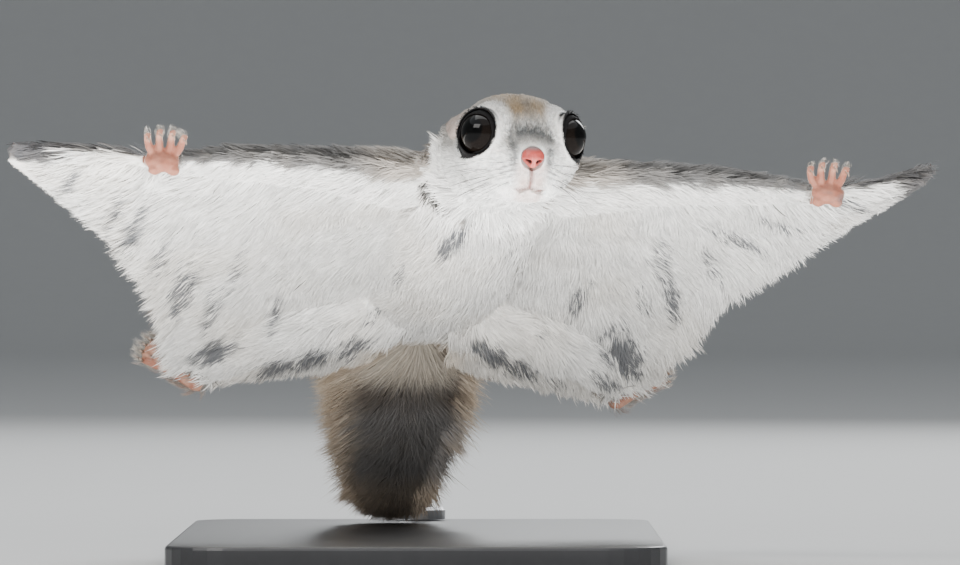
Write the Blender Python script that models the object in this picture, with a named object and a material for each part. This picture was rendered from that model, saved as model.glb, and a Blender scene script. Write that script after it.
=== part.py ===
"""A flying squirrel in a glide on a plain display stand, life size, in metres, +Z up.

The animal is modelled in its own frame, in millimetres: u runs forward along the back, v to the
animal's left, and w up out of its back. An empty tilts that frame nose up and turns it, so that the
animal glides towards -Y. The world's origin is the centre of the underside of the stand's base.
"""

import math
import random

import bmesh
import bpy
import numpy as np
from mathutils import Matrix, Vector

MM = 0.001
GAP = 0.3

# How the glide frame sits in the world
GLIDE_AT = (13.0, -75.0, 80.8)
NOSE_UP_DEG = 29.2
TURN_DEG = 13.0
ROLL_DEG = 2.6

# The trunk from the tail root to the neck: u, w, tilt of the ring, half width, top, bottom
TRUNK = (
    (-67.5, 8.0, 10, 6.0, 5.4, 5.4),
    (-61.0, 7.8, 8, 11.0, 8.2, 8.0),
    (-51.0, 7.2, 6, 15.6, 10.2, 9.8),
    (-35.0, 6.0, 4, 18.0, 11.4, 12.0),
    (-16.0, 4.6, 2, 18.2, 12.0, 13.0),
    (2.0, 4.2, 0, 17.8, 12.4, 13.0),
    (13.0, 4.4, -5, 17.0, 12.4, 13.4),
    (21.0, 4.9, -14, 15.2, 12.2, 13.8),
    (29.0, 5.1, -25, 13.6, 12.2, 13.8),
)
TRUNK_END = 6.45
NECK_END = 7.6

# The head, along its own axis from the nape: distance, lift, half width, top, bottom
NAPE = (29.2, 5.1)
HEAD_TILT_DEG = -30.0
SKULL = (
    (5.0, 0.0, 13.7, 12.7, 13.7),
    (10.0, 0.0, 13.9, 13.2, 13.4),
    (16.0, 0.0, 14.6, 13.5, 12.9),
    (21.0, 0.0, 15.0, 13.2, 12.2),
    (25.0, -0.1, 14.4, 12.2, 12.3),
    (28.5, -0.3, 12.1, 10.4, 12.2),
    (31.5, -0.7, 9.2, 7.8, 11.6),
    (34.0, -1.0, 6.6, 5.2, 10.4),
    (36.0, -1.4, 4.6, 3.5, 8.0),
    (37.2, -1.7, 2.7, 2.0, 4.8),
)
PAD_ALONG = 33.4
PAD_ANGLE = 318.0
PAD_FULL = 0.2
EYE_RADIUS = 5.5
EYE_AT = (26.7, 9.9, 3.3)
EYE_AXIS = (0.64, 0.75, 0.16)
BROW_SINK = 1.2
BROW_RADIUS = 6.25
LID_SINK = 1.8
LID_RADIUS = 5.3
LID_THICKNESS = 0.7
MOUTH_LINE = ((8.35, -90), (8.0, -77), (7.6, -67), (7.2, -59), (6.7, -53))
NOSE_AT = (37.0, 0.0, -1.9)
NOSE_SIZE = (1.9, 2.5, 2.3)

# The arm from inside the chest to the wrist, on the animal's left: u, v, w, half width, half height
ARM = (
    (11.0, 8.0, 6.0, 8.0, 8.0),
    (14.0, 20.0, 4.6, 7.2, 7.0),
    (18.5, 34.0, 3.4, 5.6, 5.4),
    (21.0, 46.0, 2.8, 4.8, 4.6),
    (23.0, 61.0, 1.6, 4.3, 4.1),
    (24.6, 72.0, 0.2, 3.6, 3.5),
    (25.4, 79.0, -0.8, 3.0, 3.0),
)
ELBOW = 3.0
WRIST_V = 76.5

# The leg from inside the rump to the ankle: u, v, w, half width, half height
LEG = (
    (-50.0, 6.0, 4.0, 9.5, 8.0),
    (-50.0, 17.0, 2.2, 9.6, 8.4),
    (-52.0, 28.0, -0.6, 8.6, 7.6),
    (-57.0, 38.5, -3.0, 6.8, 6.2),
    (-64.0, 46.5, -4.6, 5.0, 4.8),
    (-70.0, 52.5, -5.4, 4.0, 3.9),
)
KNEE = 3.0
TOES = ((-2.93, 2.6), (-1.47, 3.7), (0.07, 4.0), (1.56, 3.7), (2.98, 2.5))
SOLE_PADS = ((10.9, -1.83, 1.4), (11.4, 1.13, 1.4), (4.07, 0.04, 1.8))
HIND_HEEL = (-73.6, 52.5, -5.6)
HIND_TOES = (-73.2, 65.0, 4.4)

# The gliding membrane: how far it reaches to the side, and its rear edge, as v against u
TIP_V = {1: 109.5, -1: 115.0}
TIP_RISE = {1: 11.5, -1: 5.0}
REAR_EDGE_V = (8.0, 18.0, 30.0, 42.0, 52.0, 59.0, 62.0, 64.5, 68.0, 73.0, 79.0, 87.0, 96.0, 103.0, 109.0, 113.0)
REAR_EDGE_U = {
    1: (-68, -71, -73, -74, -75, -72, -59, -46, -32, -21, -13, -3.5, 4.0, 8.5, 13.0, 17.0),
    -1: (-68, -71, -73, -74, -75, -73, -62, -52, -42, -32, -23, -13.0, -2.5, 4.5, 11.0, 15.0),
}
WING_CUT_V = 80.0
MEMBRANE_THICK = 2.6
EDGE_THICK = 1.1
BILLOW = 5.0

# The tail, from its root to the end of its core: u, v, w, half width, half height
TAIL = (
    (-68.2, 0.0, 8.0, 5.2, 4.6),
    (-82.0, 1.5, 7.6, 5.6, 4.2),
    (-100.0, 5.2, 8.0, 6.8, 3.6),
    (-120.0, 9.6, 9.6, 7.0, 3.2),
    (-142.0, 15.2, 12.0, 5.4, 2.6),
    (-158.0, 19.6, 13.8, 2.4, 1.6),
)
BRUSH_ALONG = (0.0, 8.0, 16.0, 26.0, 40.0, 62.0, 78.0, 91.0, 101.0, 108.0, 112.0)
BRUSH_REACH = (8.0, 13.5, 19.0, 22.0, 23.0, 22.5, 20.8, 17.5, 13.0, 8.0, 1.0)
LOCK_SPACING = 8.4
LOCK_SEED = 7

# The stand
BASE_SIZE = (118.0, 236.0, 6.0)
BASE_CORNER = 14.0
ROD_RADIUS = 2.5
ROD_RINGS = 25
ROD_PATH = (
    (0, 106, 4),
    (0, 106, 26),
    (0, 103, 46),
    (0, 92, 61),
    (0, 72, 70.5),
    (0, 45, 74.5),
    (0, 18, 73.5),
    (0.2, -6, 68.5),
    (0.6, -22, 61.5),
)
COLLAR_RADIUS = 6.0
COLLAR_TOP = 9.5

COLOURS = {
    "white_fur": (0.80, 0.79, 0.76, 1.0, 0.85),
    "grey_fur": (0.27, 0.25, 0.235, 1.0, 0.85),
    "head_fur": (0.62, 0.58, 0.52, 1.0, 0.85),
    "tail_fur": (0.34, 0.30, 0.27, 1.0, 0.85),
    "pink_skin": (0.66, 0.36, 0.31, 1.0, 0.55),
    "eye": (0.012, 0.011, 0.012, 1.0, 0.08),
    "stand_base": (0.05, 0.05, 0.052, 1.0, 0.45),
    "stand_rod": (0.45, 0.45, 0.46, 1.0, 0.3),
}


def clear_scene():
    for obj in list(bpy.data.objects):
        bpy.data.objects.remove(obj)


def make_material(name):
    red, green, blue, alpha, roughness = COLOURS[name]
    material = bpy.data.materials.new(name)
    material.use_nodes = True
    shader = material.node_tree.nodes["Principled BSDF"]
    shader.inputs["Base Color"].default_value = (red, green, blue, alpha)
    shader.inputs["Roughness"].default_value = roughness
    shader.inputs["Metallic"].default_value = 1.0 if name == "stand_rod" else 0.0
    return material


def glide_frame():
    """The empty that carries the animal, nose up and turned."""
    frame = bpy.data.objects.new("glide_frame", None)
    bpy.context.scene.collection.objects.link(frame)
    nose_up = Matrix.Rotation(math.radians(-NOSE_UP_DEG), 4, "X")
    turn = Matrix.Rotation(math.radians(TURN_DEG), 4, "Z")
    roll = Matrix.Rotation(math.radians(ROLL_DEG), 4, "Y")
    frame.matrix_world = Matrix.Translation(Vector(GLIDE_AT) * MM) @ roll @ turn @ nose_up
    return frame


def body(u, v, w):
    """A point of the glide frame, given in millimetres, in the empty's own axes."""
    return Vector((v, -u, w)) * MM


def head(along, v, lift):
    """A point given along the head's axis from the nape, to the left, and above that axis."""
    tilt = math.radians(HEAD_TILT_DEG)
    u = NAPE[0] + along * math.cos(tilt) - lift * math.sin(tilt)
    w = NAPE[1] + along * math.sin(tilt) + lift * math.cos(tilt)
    return (u, v, w)


def smooth_rows(rows, at):
    """A row of numbers read from a smooth curve through the rows, at a fractional row number."""
    table = np.array(rows, float)
    last = len(table) - 1
    at = min(max(at, 0.0), float(last))
    i = min(int(at), last - 1)
    t = at - i
    before = table[i - 1] if i > 0 else 2 * table[0] - table[1]
    after = table[i + 2] if i + 2 <= last else 2 * table[last] - table[last - 1]
    a, b = table[i], table[i + 1]
    pull_a, pull_b = (b - before) / 2, (after - a) / 2
    return (
        a * (2 * t**3 - 3 * t**2 + 1)
        + pull_a * (t**3 - 2 * t**2 + t)
        + b * (3 * t**2 - 2 * t**3)
        + pull_b * (t**3 - t**2)
    )


def finish_object(name, mesh, material, frame):
    """Links a mesh as one object in the glide frame, smooth but for its sharp edges."""
    mesh.materials.clear()
    mesh.materials.append(material)
    mesh.shade_smooth()
    mesh.set_sharp_from_angle(angle=math.radians(50))
    obj = bpy.data.objects.new(name, mesh)
    bpy.context.scene.collection.objects.link(obj)
    obj.parent = frame
    return obj


def mesh_from(points, faces):
    mesh = bpy.data.meshes.new("shape")
    mesh.from_pydata([tuple(p) for p in points], [], faces)
    shape = bmesh.new()
    shape.from_mesh(mesh)
    bmesh.ops.recalc_face_normals(shape, faces=shape.faces)
    shape.to_mesh(mesh)
    shape.free()
    return mesh


def loft_mesh(rings):
    """A closed surface through rings of as many points each, with a flat cap at either end."""
    count = len(rings[0])
    faces = []
    for r in range(len(rings) - 1):
        for k in range(count):
            n = (k + 1) % count
            faces.append((r * count + k, r * count + n, (r + 1) * count + n, (r + 1) * count + k))
    faces.append(tuple(range(count)))
    faces.append(tuple((len(rings) - 1) * count + k for k in range(count)))
    return mesh_from([p for ring in rings for p in ring], faces)


def oval(centre, side, up, half_width, top, bottom, sides, power=2.0):
    """A ring round a centre. side and up are unit vectors, and the sizes are millimetres."""
    ring = []
    for k in range(sides):
        angle = 2 * math.pi * k / sides
        c, s = math.cos(angle), math.sin(angle)
        x = math.copysign(abs(c) ** (2 / power), c) * half_width
        y = math.copysign(abs(s) ** (2 / power), s) * (top if s > 0 else bottom)
        ring.append(centre + (side * x + up * y) * MM)
    return ring


def spine_ring(at, grow=0.0, sides=24):
    """A ring of the trunk and neck, at a fractional row of TRUNK."""
    u, w, tilt, half, top, bottom = smooth_rows(TRUNK, at)
    tilt = math.radians(tilt)
    up = Vector((0, math.sin(tilt), math.cos(tilt)))
    return oval(body(u, 0, w), Vector((1, 0, 0)), up, half + grow, top + grow, bottom + grow, sides, 2.2)


def skull_ring(at, grow=0.0, sides=26):
    """A ring of the skull, fuller at the two whisker pads of the muzzle."""
    along, lift, half, top, bottom = smooth_rows(SKULL, at)
    tilt = math.radians(HEAD_TILT_DEG)
    up = Vector((0, math.sin(tilt), math.cos(tilt)))
    centre = body(*head(along, 0, lift))
    ring = oval(centre, Vector((1, 0, 0)), up, half + grow, top + grow, bottom + grow, sides, 2.15)
    fuller = PAD_FULL * math.exp(-(((along - PAD_ALONG) / 2.2) ** 2))
    for k, point in enumerate(ring):
        angle = 360.0 * k / sides
        nearest = min(abs(angle - PAD_ANGLE), abs(angle - (540.0 - PAD_ANGLE)))
        ring[k] = point + (point - centre) * fuller * math.exp(-((nearest / 24.0) ** 2))
    return ring


def skull_point(at, angle):
    """A point on the skull's surface, in the glide frame's axes, at a fractional row and an angle."""
    along, lift, half, top, bottom = smooth_rows(SKULL, at)
    x = half * math.cos(math.radians(angle))
    y = bottom * math.sin(math.radians(angle))
    return head(along, x, lift + y)


def skull_mesh(grow=0.0):
    """The bare form of the head, from the nape to the muzzle."""
    nape = spine_ring(NECK_END + half_gap(TRUNK, NECK_END), grow, 26)
    return loft_mesh([nape, *[skull_ring(at, grow) for at in np.linspace(0.0, len(SKULL) - 1.0, 18)]])


def limb_rings(rows, side, first, last, count, sides, grow=0.0):
    """Rings along a limb between two fractional rows. side is 1 for the animal's left, -1 for its right."""
    rings = []
    for at in np.linspace(first, last, count):
        u, v, w, half_width, half_height = smooth_rows(rows, at)
        ahead = smooth_rows(rows, min(at + 0.05, len(rows) - 1.0))
        behind = smooth_rows(rows, max(at - 0.05, 0.0))
        along = body(ahead[0], side * ahead[1], ahead[2]) - body(behind[0], side * behind[1], behind[2])
        along.normalize()
        across = Vector((0, 0, 1)).cross(along).normalized()
        up = along.cross(across)
        centre = body(u, side * v, w)
        rings.append(oval(centre, across, up, half_width + grow, half_height + grow, half_height + grow, sides))
    return rings


def blob(at, size, turn=None, detail=2):
    """A rounded solid at a point of the glide frame. size holds half sizes along u, v and w."""
    shape = bmesh.new()
    bmesh.ops.create_icosphere(shape, subdivisions=detail, radius=1.0)
    mesh = bpy.data.meshes.new("blob")
    shape.to_mesh(mesh)
    shape.free()
    scale = Matrix.Diagonal((size[1] * MM, size[0] * MM, size[2] * MM, 1.0))
    mesh.transform(Matrix.Translation(body(*at)) @ (turn or Matrix.Identity(4)) @ scale)
    return mesh


def tube(path, radii, sides=6, grow=0.0):
    """A round tube through points of the glide frame, with its own radius at each."""
    rows = [(*p, r, r) for p, r in zip(path, radii)]
    points = [body(*row[:3]) for row in rows]
    first = (points[1] - points[0]).normalized()
    across = first.orthogonal().normalized()
    rings = []
    for i, row in enumerate(rows):
        along = (points[min(i + 1, len(points) - 1)] - points[max(i - 1, 0)]).normalized()
        across = (across - along * across.dot(along)).normalized()
        up = along.cross(across)
        rings.append(oval(points[i], across, up, row[3] + grow, row[3] + grow, row[3] + grow, sides))
    return loft_mesh(rings)


def operand(mesh, frame):
    """A helper object that a Boolean reads and then removes."""
    obj = bpy.data.objects.new("operand", mesh)
    bpy.context.scene.collection.objects.link(obj)
    obj.parent = frame
    return obj


def boolean(obj, meshes, operation):
    """Joins meshes to an object, or cuts them from it, and removes the helpers."""
    group = bpy.data.collections.new("operands")
    bpy.context.scene.collection.children.link(group)
    helpers = [operand(mesh, obj.parent) for mesh in meshes]
    for helper in helpers:
        group.objects.link(helper)
    modifier = obj.modifiers.new("Boolean", "BOOLEAN")
    modifier.operation = operation
    modifier.operand_type = "COLLECTION"
    modifier.collection = group
    modifier.solver = "EXACT"
    bpy.context.view_layer.update()
    graph = bpy.context.evaluated_depsgraph_get()
    made = bpy.data.meshes.new_from_object(obj.evaluated_get(graph))
    obj.modifiers.clear()
    material = obj.data.materials[0]
    obj.data = made
    made.materials.clear()
    made.materials.append(material)
    made.shade_smooth()
    made.set_sharp_from_angle(angle=math.radians(50))
    for helper in helpers:
        bpy.data.objects.remove(helper)
    bpy.data.collections.remove(group)
    return obj


def pieces_by_size(mesh):
    """The mesh's closed surfaces as meshes of their own, largest first."""
    shape = bmesh.new()
    shape.from_mesh(mesh)
    bmesh.ops.remove_doubles(shape, verts=shape.verts, dist=1e-7)
    shape.verts.ensure_lookup_table()
    left = set(shape.verts)
    groups = []
    while left:
        seed = next(iter(left))
        found, stack = {seed}, [seed]
        while stack:
            for edge in stack.pop().link_edges:
                for vert in edge.verts:
                    if vert not in found:
                        found.add(vert)
                        stack.append(vert)
        left -= found
        groups.append(found)
    made = []
    for group in groups:
        part = shape.copy()
        keep = {vert.index for vert in group}
        part.verts.ensure_lookup_table()
        bmesh.ops.delete(part, geom=[v for v in part.verts if v.index not in keep], context="VERTS")
        out = bpy.data.meshes.new("piece")
        part.to_mesh(out)
        made.append((abs(part.calc_volume(signed=True)), out))
        part.free()
    shape.free()
    return [out for volume, out in sorted(made, key=lambda pair: -pair[0])]


def keep_largest(obj):
    material = obj.data.materials[0]
    obj.data = pieces_by_size(obj.data)[0]
    obj.data.materials.clear()
    obj.data.materials.append(material)
    return obj


def side_name(side):
    return "l" if side > 0 else "r"


def trunk_mesh(first, last, count, grow=0.0):
    return loft_mesh([spine_ring(at, grow) for at in np.linspace(first, last, count)])


def half_gap(rows, at):
    """Half the gap between nodes, as a share of the row spacing of a table that starts u, v or w."""
    a, b = smooth_rows(rows, at - 0.1), smooth_rows(rows, at + 0.1)
    length = float(np.linalg.norm((b - a)[:2] if rows is TRUNK else (b - a)[:3]))
    return GAP / 2 * 0.2 / length


def make_trunk(frame, fur):
    pause = half_gap(TRUNK, TRUNK_END)
    torso = trunk_mesh(0.0, TRUNK_END - pause, 13)
    finish_object("torso", torso, fur, frame)
    neck_pause = half_gap(TRUNK, NECK_END)
    neck = trunk_mesh(TRUNK_END + pause, NECK_END - neck_pause, 4)
    finish_object("neck", neck, fur, frame)


def trunk_cutter():
    """The trunk and neck, larger all round by the gap."""
    return trunk_mesh(0.0, 8.0, 14, GAP)


def eye_turn(side):
    """The rotation that points an eye's own axis out of its socket, and that axis."""
    tip = body(*head(EYE_AXIS[0], side * EYE_AXIS[1], EYE_AXIS[2]))
    axis = (tip - body(*head(0, 0, 0))).normalized()
    return axis.to_track_quat("Z", "Y").to_matrix().to_4x4(), axis


def brow_mesh(side):
    """The raised flesh round an eye, a little behind the eyeball and larger than it."""
    _, axis = eye_turn(side)
    mesh = blob((0, 0, 0), (BROW_RADIUS,) * 3, detail=3)
    centre = body(*head(EYE_AT[0], side * EYE_AT[1], EYE_AT[2])) - axis * BROW_SINK * MM
    mesh.transform(Matrix.Translation(centre))
    return mesh


def lid_ring(side):
    """The rim of both lids, one closed ring round the eye."""
    turn, axis = eye_turn(side)
    centre = body(*head(EYE_AT[0], side * EYE_AT[1], EYE_AT[2])) + axis * LID_SINK * MM
    rings = []
    steps, sides = 22, 6
    for k in range(steps):
        angle = 2 * math.pi * k / steps
        out = turn @ Vector((math.cos(angle), math.sin(angle), 0))
        middle = centre + out * LID_RADIUS * MM
        rings.append(oval(middle, out, axis, LID_THICKNESS, LID_THICKNESS, LID_THICKNESS, sides))
    faces = []
    for r in range(steps):
        following = (r + 1) % steps
        for k in range(sides):
            n = (k + 1) % sides
            faces.append((r * sides + k, r * sides + n, following * sides + n, following * sides + k))
    return mesh_from([p for ring in rings for p in ring], faces)


def eyeball(side, grow=0.0, detail=3):
    radius = EYE_RADIUS + grow
    return blob(head(EYE_AT[0], side * EYE_AT[1], EYE_AT[2]), (radius,) * 3, detail=detail)


def nose_mesh(grow=0.0):
    tilt = Matrix.Rotation(math.radians(HEAD_TILT_DEG), 4, "X").inverted()
    size = [s + grow for s in NOSE_SIZE]
    return blob(head(*NOSE_AT), size, turn=tilt)


def mouth_cutters():
    """The line of the mouth and the groove from the nose down to it."""
    half = [skull_point(at, angle) for at, angle in MOUTH_LINE]
    other = [(u, -v, w) for u, v, w in half[1:]]
    radii = [0.6, 0.7, 0.7, 0.6, 0.3]
    line = tube(list(reversed(other)) + half, list(reversed(radii[1:])) + radii, 6)
    groove = tube([head(37.4, 0, -3.8), head(37.3, 0, -6.2), head(36.7, 0, -8.3)], [0.3, 0.5, 0.4], 6)
    return [line, groove]


def nostril_cutters():
    cutters = []
    for side in (1, -1):
        path = [head(39.4, side * 1.5, -3.2), head(38.2, side * 1.25, -2.7), head(37.0, side * 1.0, -2.2)]
        cutters.append(tube(path, [0.7, 0.55, 0.35], 6))
    return cutters


def make_head(frame, fur, skin, eye):
    obj = finish_object("head", skull_mesh(), fur, frame)
    pads = []
    for side in (1, -1):
        pads.append(brow_mesh(side))
        pads.append(lid_ring(side))
    boolean(obj, pads, "UNION")
    sockets = [eyeball(side, GAP, 3) for side in (1, -1)]
    boolean(obj, [*sockets, nose_mesh(GAP), *mouth_cutters()], "DIFFERENCE")
    keep_largest(obj)
    nose = finish_object("nose", nose_mesh(), skin, frame)
    boolean(nose, nostril_cutters(), "DIFFERENCE")
    for side in (1, -1):
        finish_object("eye_" + side_name(side), eyeball(side, 0.0, 3), eye, frame)


def sheet_mesh(middle, offset):
    """A closed sheet. middle and offset are grids of points and of vectors to its upper face."""
    rows, columns = len(middle), len(middle[0])
    points = [middle[i][j] + offset[i][j] for i in range(rows) for j in range(columns)]
    points += [middle[i][j] - offset[i][j] for i in range(rows) for j in range(columns)]
    under = rows * columns
    faces = []
    for i in range(rows - 1):
        for j in range(columns - 1):
            a, b = i * columns + j, i * columns + j + 1
            c, d = a + columns, b + columns
            faces += [(a, b, d), (a, d, c)]
            faces += [(under + a, under + d, under + b), (under + a, under + c, under + d)]
    rim = [(0, j) for j in range(columns)]
    rim += [(i, columns - 1) for i in range(1, rows)]
    rim += [(rows - 1, j) for j in range(columns - 2, -1, -1)]
    rim += [(i, 0) for i in range(rows - 2, 0, -1)]
    for k, (i, j) in enumerate(rim):
        m, n = rim[(k + 1) % len(rim)]
        a, b = i * columns + j, m * columns + n
        faces += [(a, under + a, under + b), (a, under + b, b)]
    return mesh_from(points, faces)


def make_ear(frame, side, fur):
    """A thin cup, laid back along the neck as in a glide, open outwards."""
    rows, columns = 8, 7
    middle, offset = [], []
    root, tip = Vector(head(13.5, side * 12.4, 7.4)), Vector(head(1.0, side * 14.4, 6.8))
    along = (tip - root).normalized()
    across = Vector(head(0, -side * 0.55, 0.83)) - Vector(head(0, 0, 0))
    across = (across - along * across.dot(along)).normalized()
    outward = across.cross(along).normalized() * side
    length = (tip - root).length
    for i in range(rows):
        t = i / (rows - 1)
        half = 1.6 + 3.6 * math.sin(math.pi * min(1.0, 0.12 + 0.88 * t) ** 0.8) ** 0.8
        line, push = [], []
        for j in range(columns):
            b = 2 * j / (columns - 1) - 1
            cup = 2.4 * b * b * math.sin(math.pi * (0.15 + 0.7 * t))
            u, v, w = root + along * (length * t) + across * (half * b) + outward * (cup + 1.6 * t)
            line.append(body(u, v, w))
            thick = 0.45 if t < 0.95 else 0.3
            x, y, z = outward * thick
            push.append(body(x, y, z))
        middle.append(line)
        offset.append(push)
    obj = finish_object("ear_" + side_name(side), sheet_mesh(middle, offset), fur, frame)
    boolean(obj, [skull_mesh(GAP), trunk_cutter()], "DIFFERENCE")
    return keep_largest(obj)


def front_edge(v, side):
    """u and w of the membrane's leading edge, inside the arm and out along the wrist spur."""
    rows = [row[:3] for row in ARM[1:]]
    if v <= rows[-1][1]:
        return np.interp(v, [r[1] for r in rows], [r[0] for r in rows]), np.interp(
            v, [r[1] for r in rows], [r[2] for r in rows]
        )
    share = (v - rows[-1][1]) / (TIP_V[side] - rows[-1][1])
    u = 25.4 + 1.6 * math.sin(math.pi * share) - 4.0 * share**2
    return u, -0.8 + (TIP_RISE[side] + 0.8) * share**2.0


def membrane_mesh(side, first_v, last_v, columns, rows=8):
    """The membrane between two distances from the midline, from its rear edge to the arm."""
    middle, offset = [], []
    stretch = (TIP_V[side] - WING_CUT_V) / (REAR_EDGE_V[-1] - WING_CUT_V)
    for v in columns:
        if not first_v <= v <= last_v:
            continue
        far = v if v < WING_CUT_V else WING_CUT_V + (v - WING_CUT_V) * stretch
        rear = float(np.interp(v, REAR_EDGE_V, REAR_EDGE_U[side]))
        front, front_w = front_edge(far, side)
        rear_w = float(np.interp(v, (8, 30, 52, 62, 75, 113), (1.0, -2.0, -5.5, -2.0, 0.0, 3.0)))
        rear_w += (TIP_RISE[side] - 5.0) * max(0.0, (v - WING_CUT_V) / 33.0)
        line, push = [], []
        for i in range(rows):
            t = i / (rows - 1)
            rise = BILLOW * math.sin(math.pi * t) * math.sin(math.pi * min(1.0, v / 88.0))
            w = rear_w + (front_w - rear_w) * t + rise
            line.append(body(rear + (front - rear) * t, side * far, w))
            edge = min(1.0, (front - rear) * t / 7.0)
            outer = min(1.0, max(0.0, (TIP_V[side] + 1.0 - far) / 8.0))
            thick = EDGE_THICK + (MEMBRANE_THICK - EDGE_THICK) * edge * outer
            push.append(Vector((0, 0, thick / 2)) * MM)
        middle.append(line)
        offset.append(push)
    return sheet_mesh(middle, offset)


MEMBRANE_COLUMNS = (8, 14, 20, 27, 34, 41, 47, 52, 56, 59, 61, 64, 68, 73, 79.7)
WING_COLUMNS = (80.0, 85, 90, 95, 100, 104, 108, 111, 113)


def make_membranes(frame, side, fur):
    """The sheet between arm and leg, the flap behind the leg, and the wing tip past the wrist."""
    tag = side_name(side)
    sheet = membrane_mesh(side, 0, WING_CUT_V - 0.2, MEMBRANE_COLUMNS)
    obj = finish_object("patagium_" + tag, sheet, fur, frame)
    cutters = [
        trunk_cutter(),
        loft_mesh(limb_rings(ARM, side, 0.0, len(ARM) - 1.0, 14, 12, GAP)),
        loft_mesh(limb_rings(LEG, side, 0.0, len(LEG) - 1.0, 12, 12, GAP)),
        *foot_cutters(side),
        *hand_cutters(side),
        ankle_slit(side),
    ]
    boolean(obj, cutters, "DIFFERENCE")
    found = pieces_by_size(obj.data)
    obj.data = found[0]
    obj.data.materials.clear()
    obj.data.materials.append(fur)
    finish_object("rear_flap_" + tag, found[1], fur, frame)
    tip = membrane_mesh(side, WING_CUT_V, 200.0, WING_COLUMNS, 6)
    wing = finish_object("wing_tip_" + tag, tip, fur, frame)
    spur = wrist_spur(side)
    boolean(wing, [spur], "UNION")
    boolean(wing, [*hand_cutters(side), wrist_wall(side)], "DIFFERENCE")
    keep_largest(wing)


def ankle_slit(side):
    """A thin upright blade outwards and back from the ankle, between the two membranes."""
    start, end = Vector((-68.0, 51.0)), Vector((-84.0, 58.0))
    across = (end - start).normalized().orthogonal() * GAP / 2
    corners = []
    for at in (start, end):
        for shift in (-1, 1):
            for w in (-30, 30):
                corners.append(body(at.x + across.x * shift, side * (at.y + across.y * shift), w))
    faces = [(0, 1, 3, 2), (4, 6, 7, 5), (0, 4, 5, 1), (2, 3, 7, 6), (0, 2, 6, 4), (1, 5, 7, 3)]
    return mesh_from(corners, faces)


def wrist_spur(side):
    """The rod of cartilage that carries the wing tip."""
    path, radii = [], []
    for t in (0.0, 0.2, 0.4, 0.6, 0.8, 0.94):
        v = WING_CUT_V + 0.4 + (TIP_V[side] - WING_CUT_V) * t
        u, w = front_edge(v, side)
        path.append((u - 0.6, side * v, w))
        radii.append(2.3 - 1.5 * t)
    return tube(path, radii, 8)


def wrist_wall(side):
    """A block that trims the wing tip flat where the membrane starts."""
    low = min(side * (WING_CUT_V - 12), side * (WING_CUT_V + 0.1))
    high = max(side * (WING_CUT_V - 12), side * (WING_CUT_V + 0.1))
    corners = [body(u, v, w) for u in (-60, 60) for v in (low, high) for w in (-30, 30)]
    faces = [(0, 1, 3, 2), (4, 6, 7, 5), (0, 4, 5, 1), (2, 3, 7, 6), (0, 2, 6, 4), (1, 5, 7, 3)]
    return mesh_from(corners, faces)


def make_arm(frame, side, fur):
    tag = side_name(side)
    pause = half_gap(ARM, ELBOW)
    upper = loft_mesh(limb_rings(ARM, side, 0.0, ELBOW - pause, 7, 12))
    obj = finish_object("upper_arm_" + tag, upper, fur, frame)
    boolean(obj, [trunk_cutter()], "DIFFERENCE")
    keep_largest(obj)
    finish_object("forearm_" + tag, forearm_mesh(side), fur, frame)


def forearm_mesh(side, grow=0.0):
    """The forearm from the elbow to the flat end at the wrist, longer and thicker by the growth."""
    step = ARM[6][1] - ARM[5][1]
    wrist = 5 + (WRIST_V + grow - ARM[5][1]) / step
    return loft_mesh(limb_rings(ARM, side, ELBOW + half_gap(ARM, ELBOW), wrist, 7, 12, grow))


def hand_point(side, across, lift, forward):
    """A point of the hand: across away from the body, lift up the palm, forward out of it."""
    rise = math.radians(61.0)
    u = 28.0 + lift * math.cos(rise) + forward * math.sin(rise)
    w = -0.9 + lift * math.sin(rise) - forward * math.cos(rise)
    return (u, side * (80.0 + across), w)


def hand_cutters(side):
    """The wrist and palm, larger all round by the gap."""
    return [wrist_mesh(side, GAP), palm_mesh(side, GAP)]


def wrist_mesh(side, grow=0.0):
    start = WRIST_V - 0.5
    path = [(25.1, side * start, -0.4), (25.8, side * 79.0, -0.7), (27.0, side * 81.0, -0.9)]
    return tube(path, [3.0, 3.0, 2.6], 12, grow)


def palm_mesh(side, grow=0.0):
    at = hand_point(side, 0.4, -1.0, 0.0)
    rise = Matrix.Rotation(math.radians(61.0 - 90.0), 4, "X")
    return blob(at, (2.5 + grow, 4.5 + grow, 3.7 + grow), turn=rise)


def make_hand(frame, side, skin):
    """The palm turned forward, four short fingers curled up and the two wrist pads."""
    obj = finish_object("hand_" + side_name(side), palm_mesh(side), skin, frame)
    parts = [wrist_mesh(side)]
    spread = (-3.3, -1.2, 1.1, 3.3)
    reach = (3.4, 4.5, 4.6, 3.5)
    for across, length in zip(spread, reach):
        fan = across * 0.32
        path = [
            hand_point(side, across * 0.8, 0.6, 0.0),
            hand_point(side, across + fan * 0.4, 2.4, 0.3),
            hand_point(side, across + fan * 0.8, 2.0 + length * 0.55, 0.5),
            hand_point(side, across + fan, 2.0 + length * 0.85, 1.5),
            hand_point(side, across + fan, 1.8 + length * 0.9, 2.8),
            hand_point(side, across + fan, 1.0 + length * 0.86, 4.0),
        ]
        parts.append(tube(path, [1.15, 1.1, 1.0, 0.95, 0.75, 0.25], 6))
    for across in (-2.1, 2.3):
        parts.append(blob(hand_point(side, across, -3.1, 1.5), (1.7, 2.0, 1.6), detail=1))
    boolean(obj, parts, "UNION")
    boolean(obj, [forearm_mesh(side, GAP)], "DIFFERENCE")
    keep_largest(obj)


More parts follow.
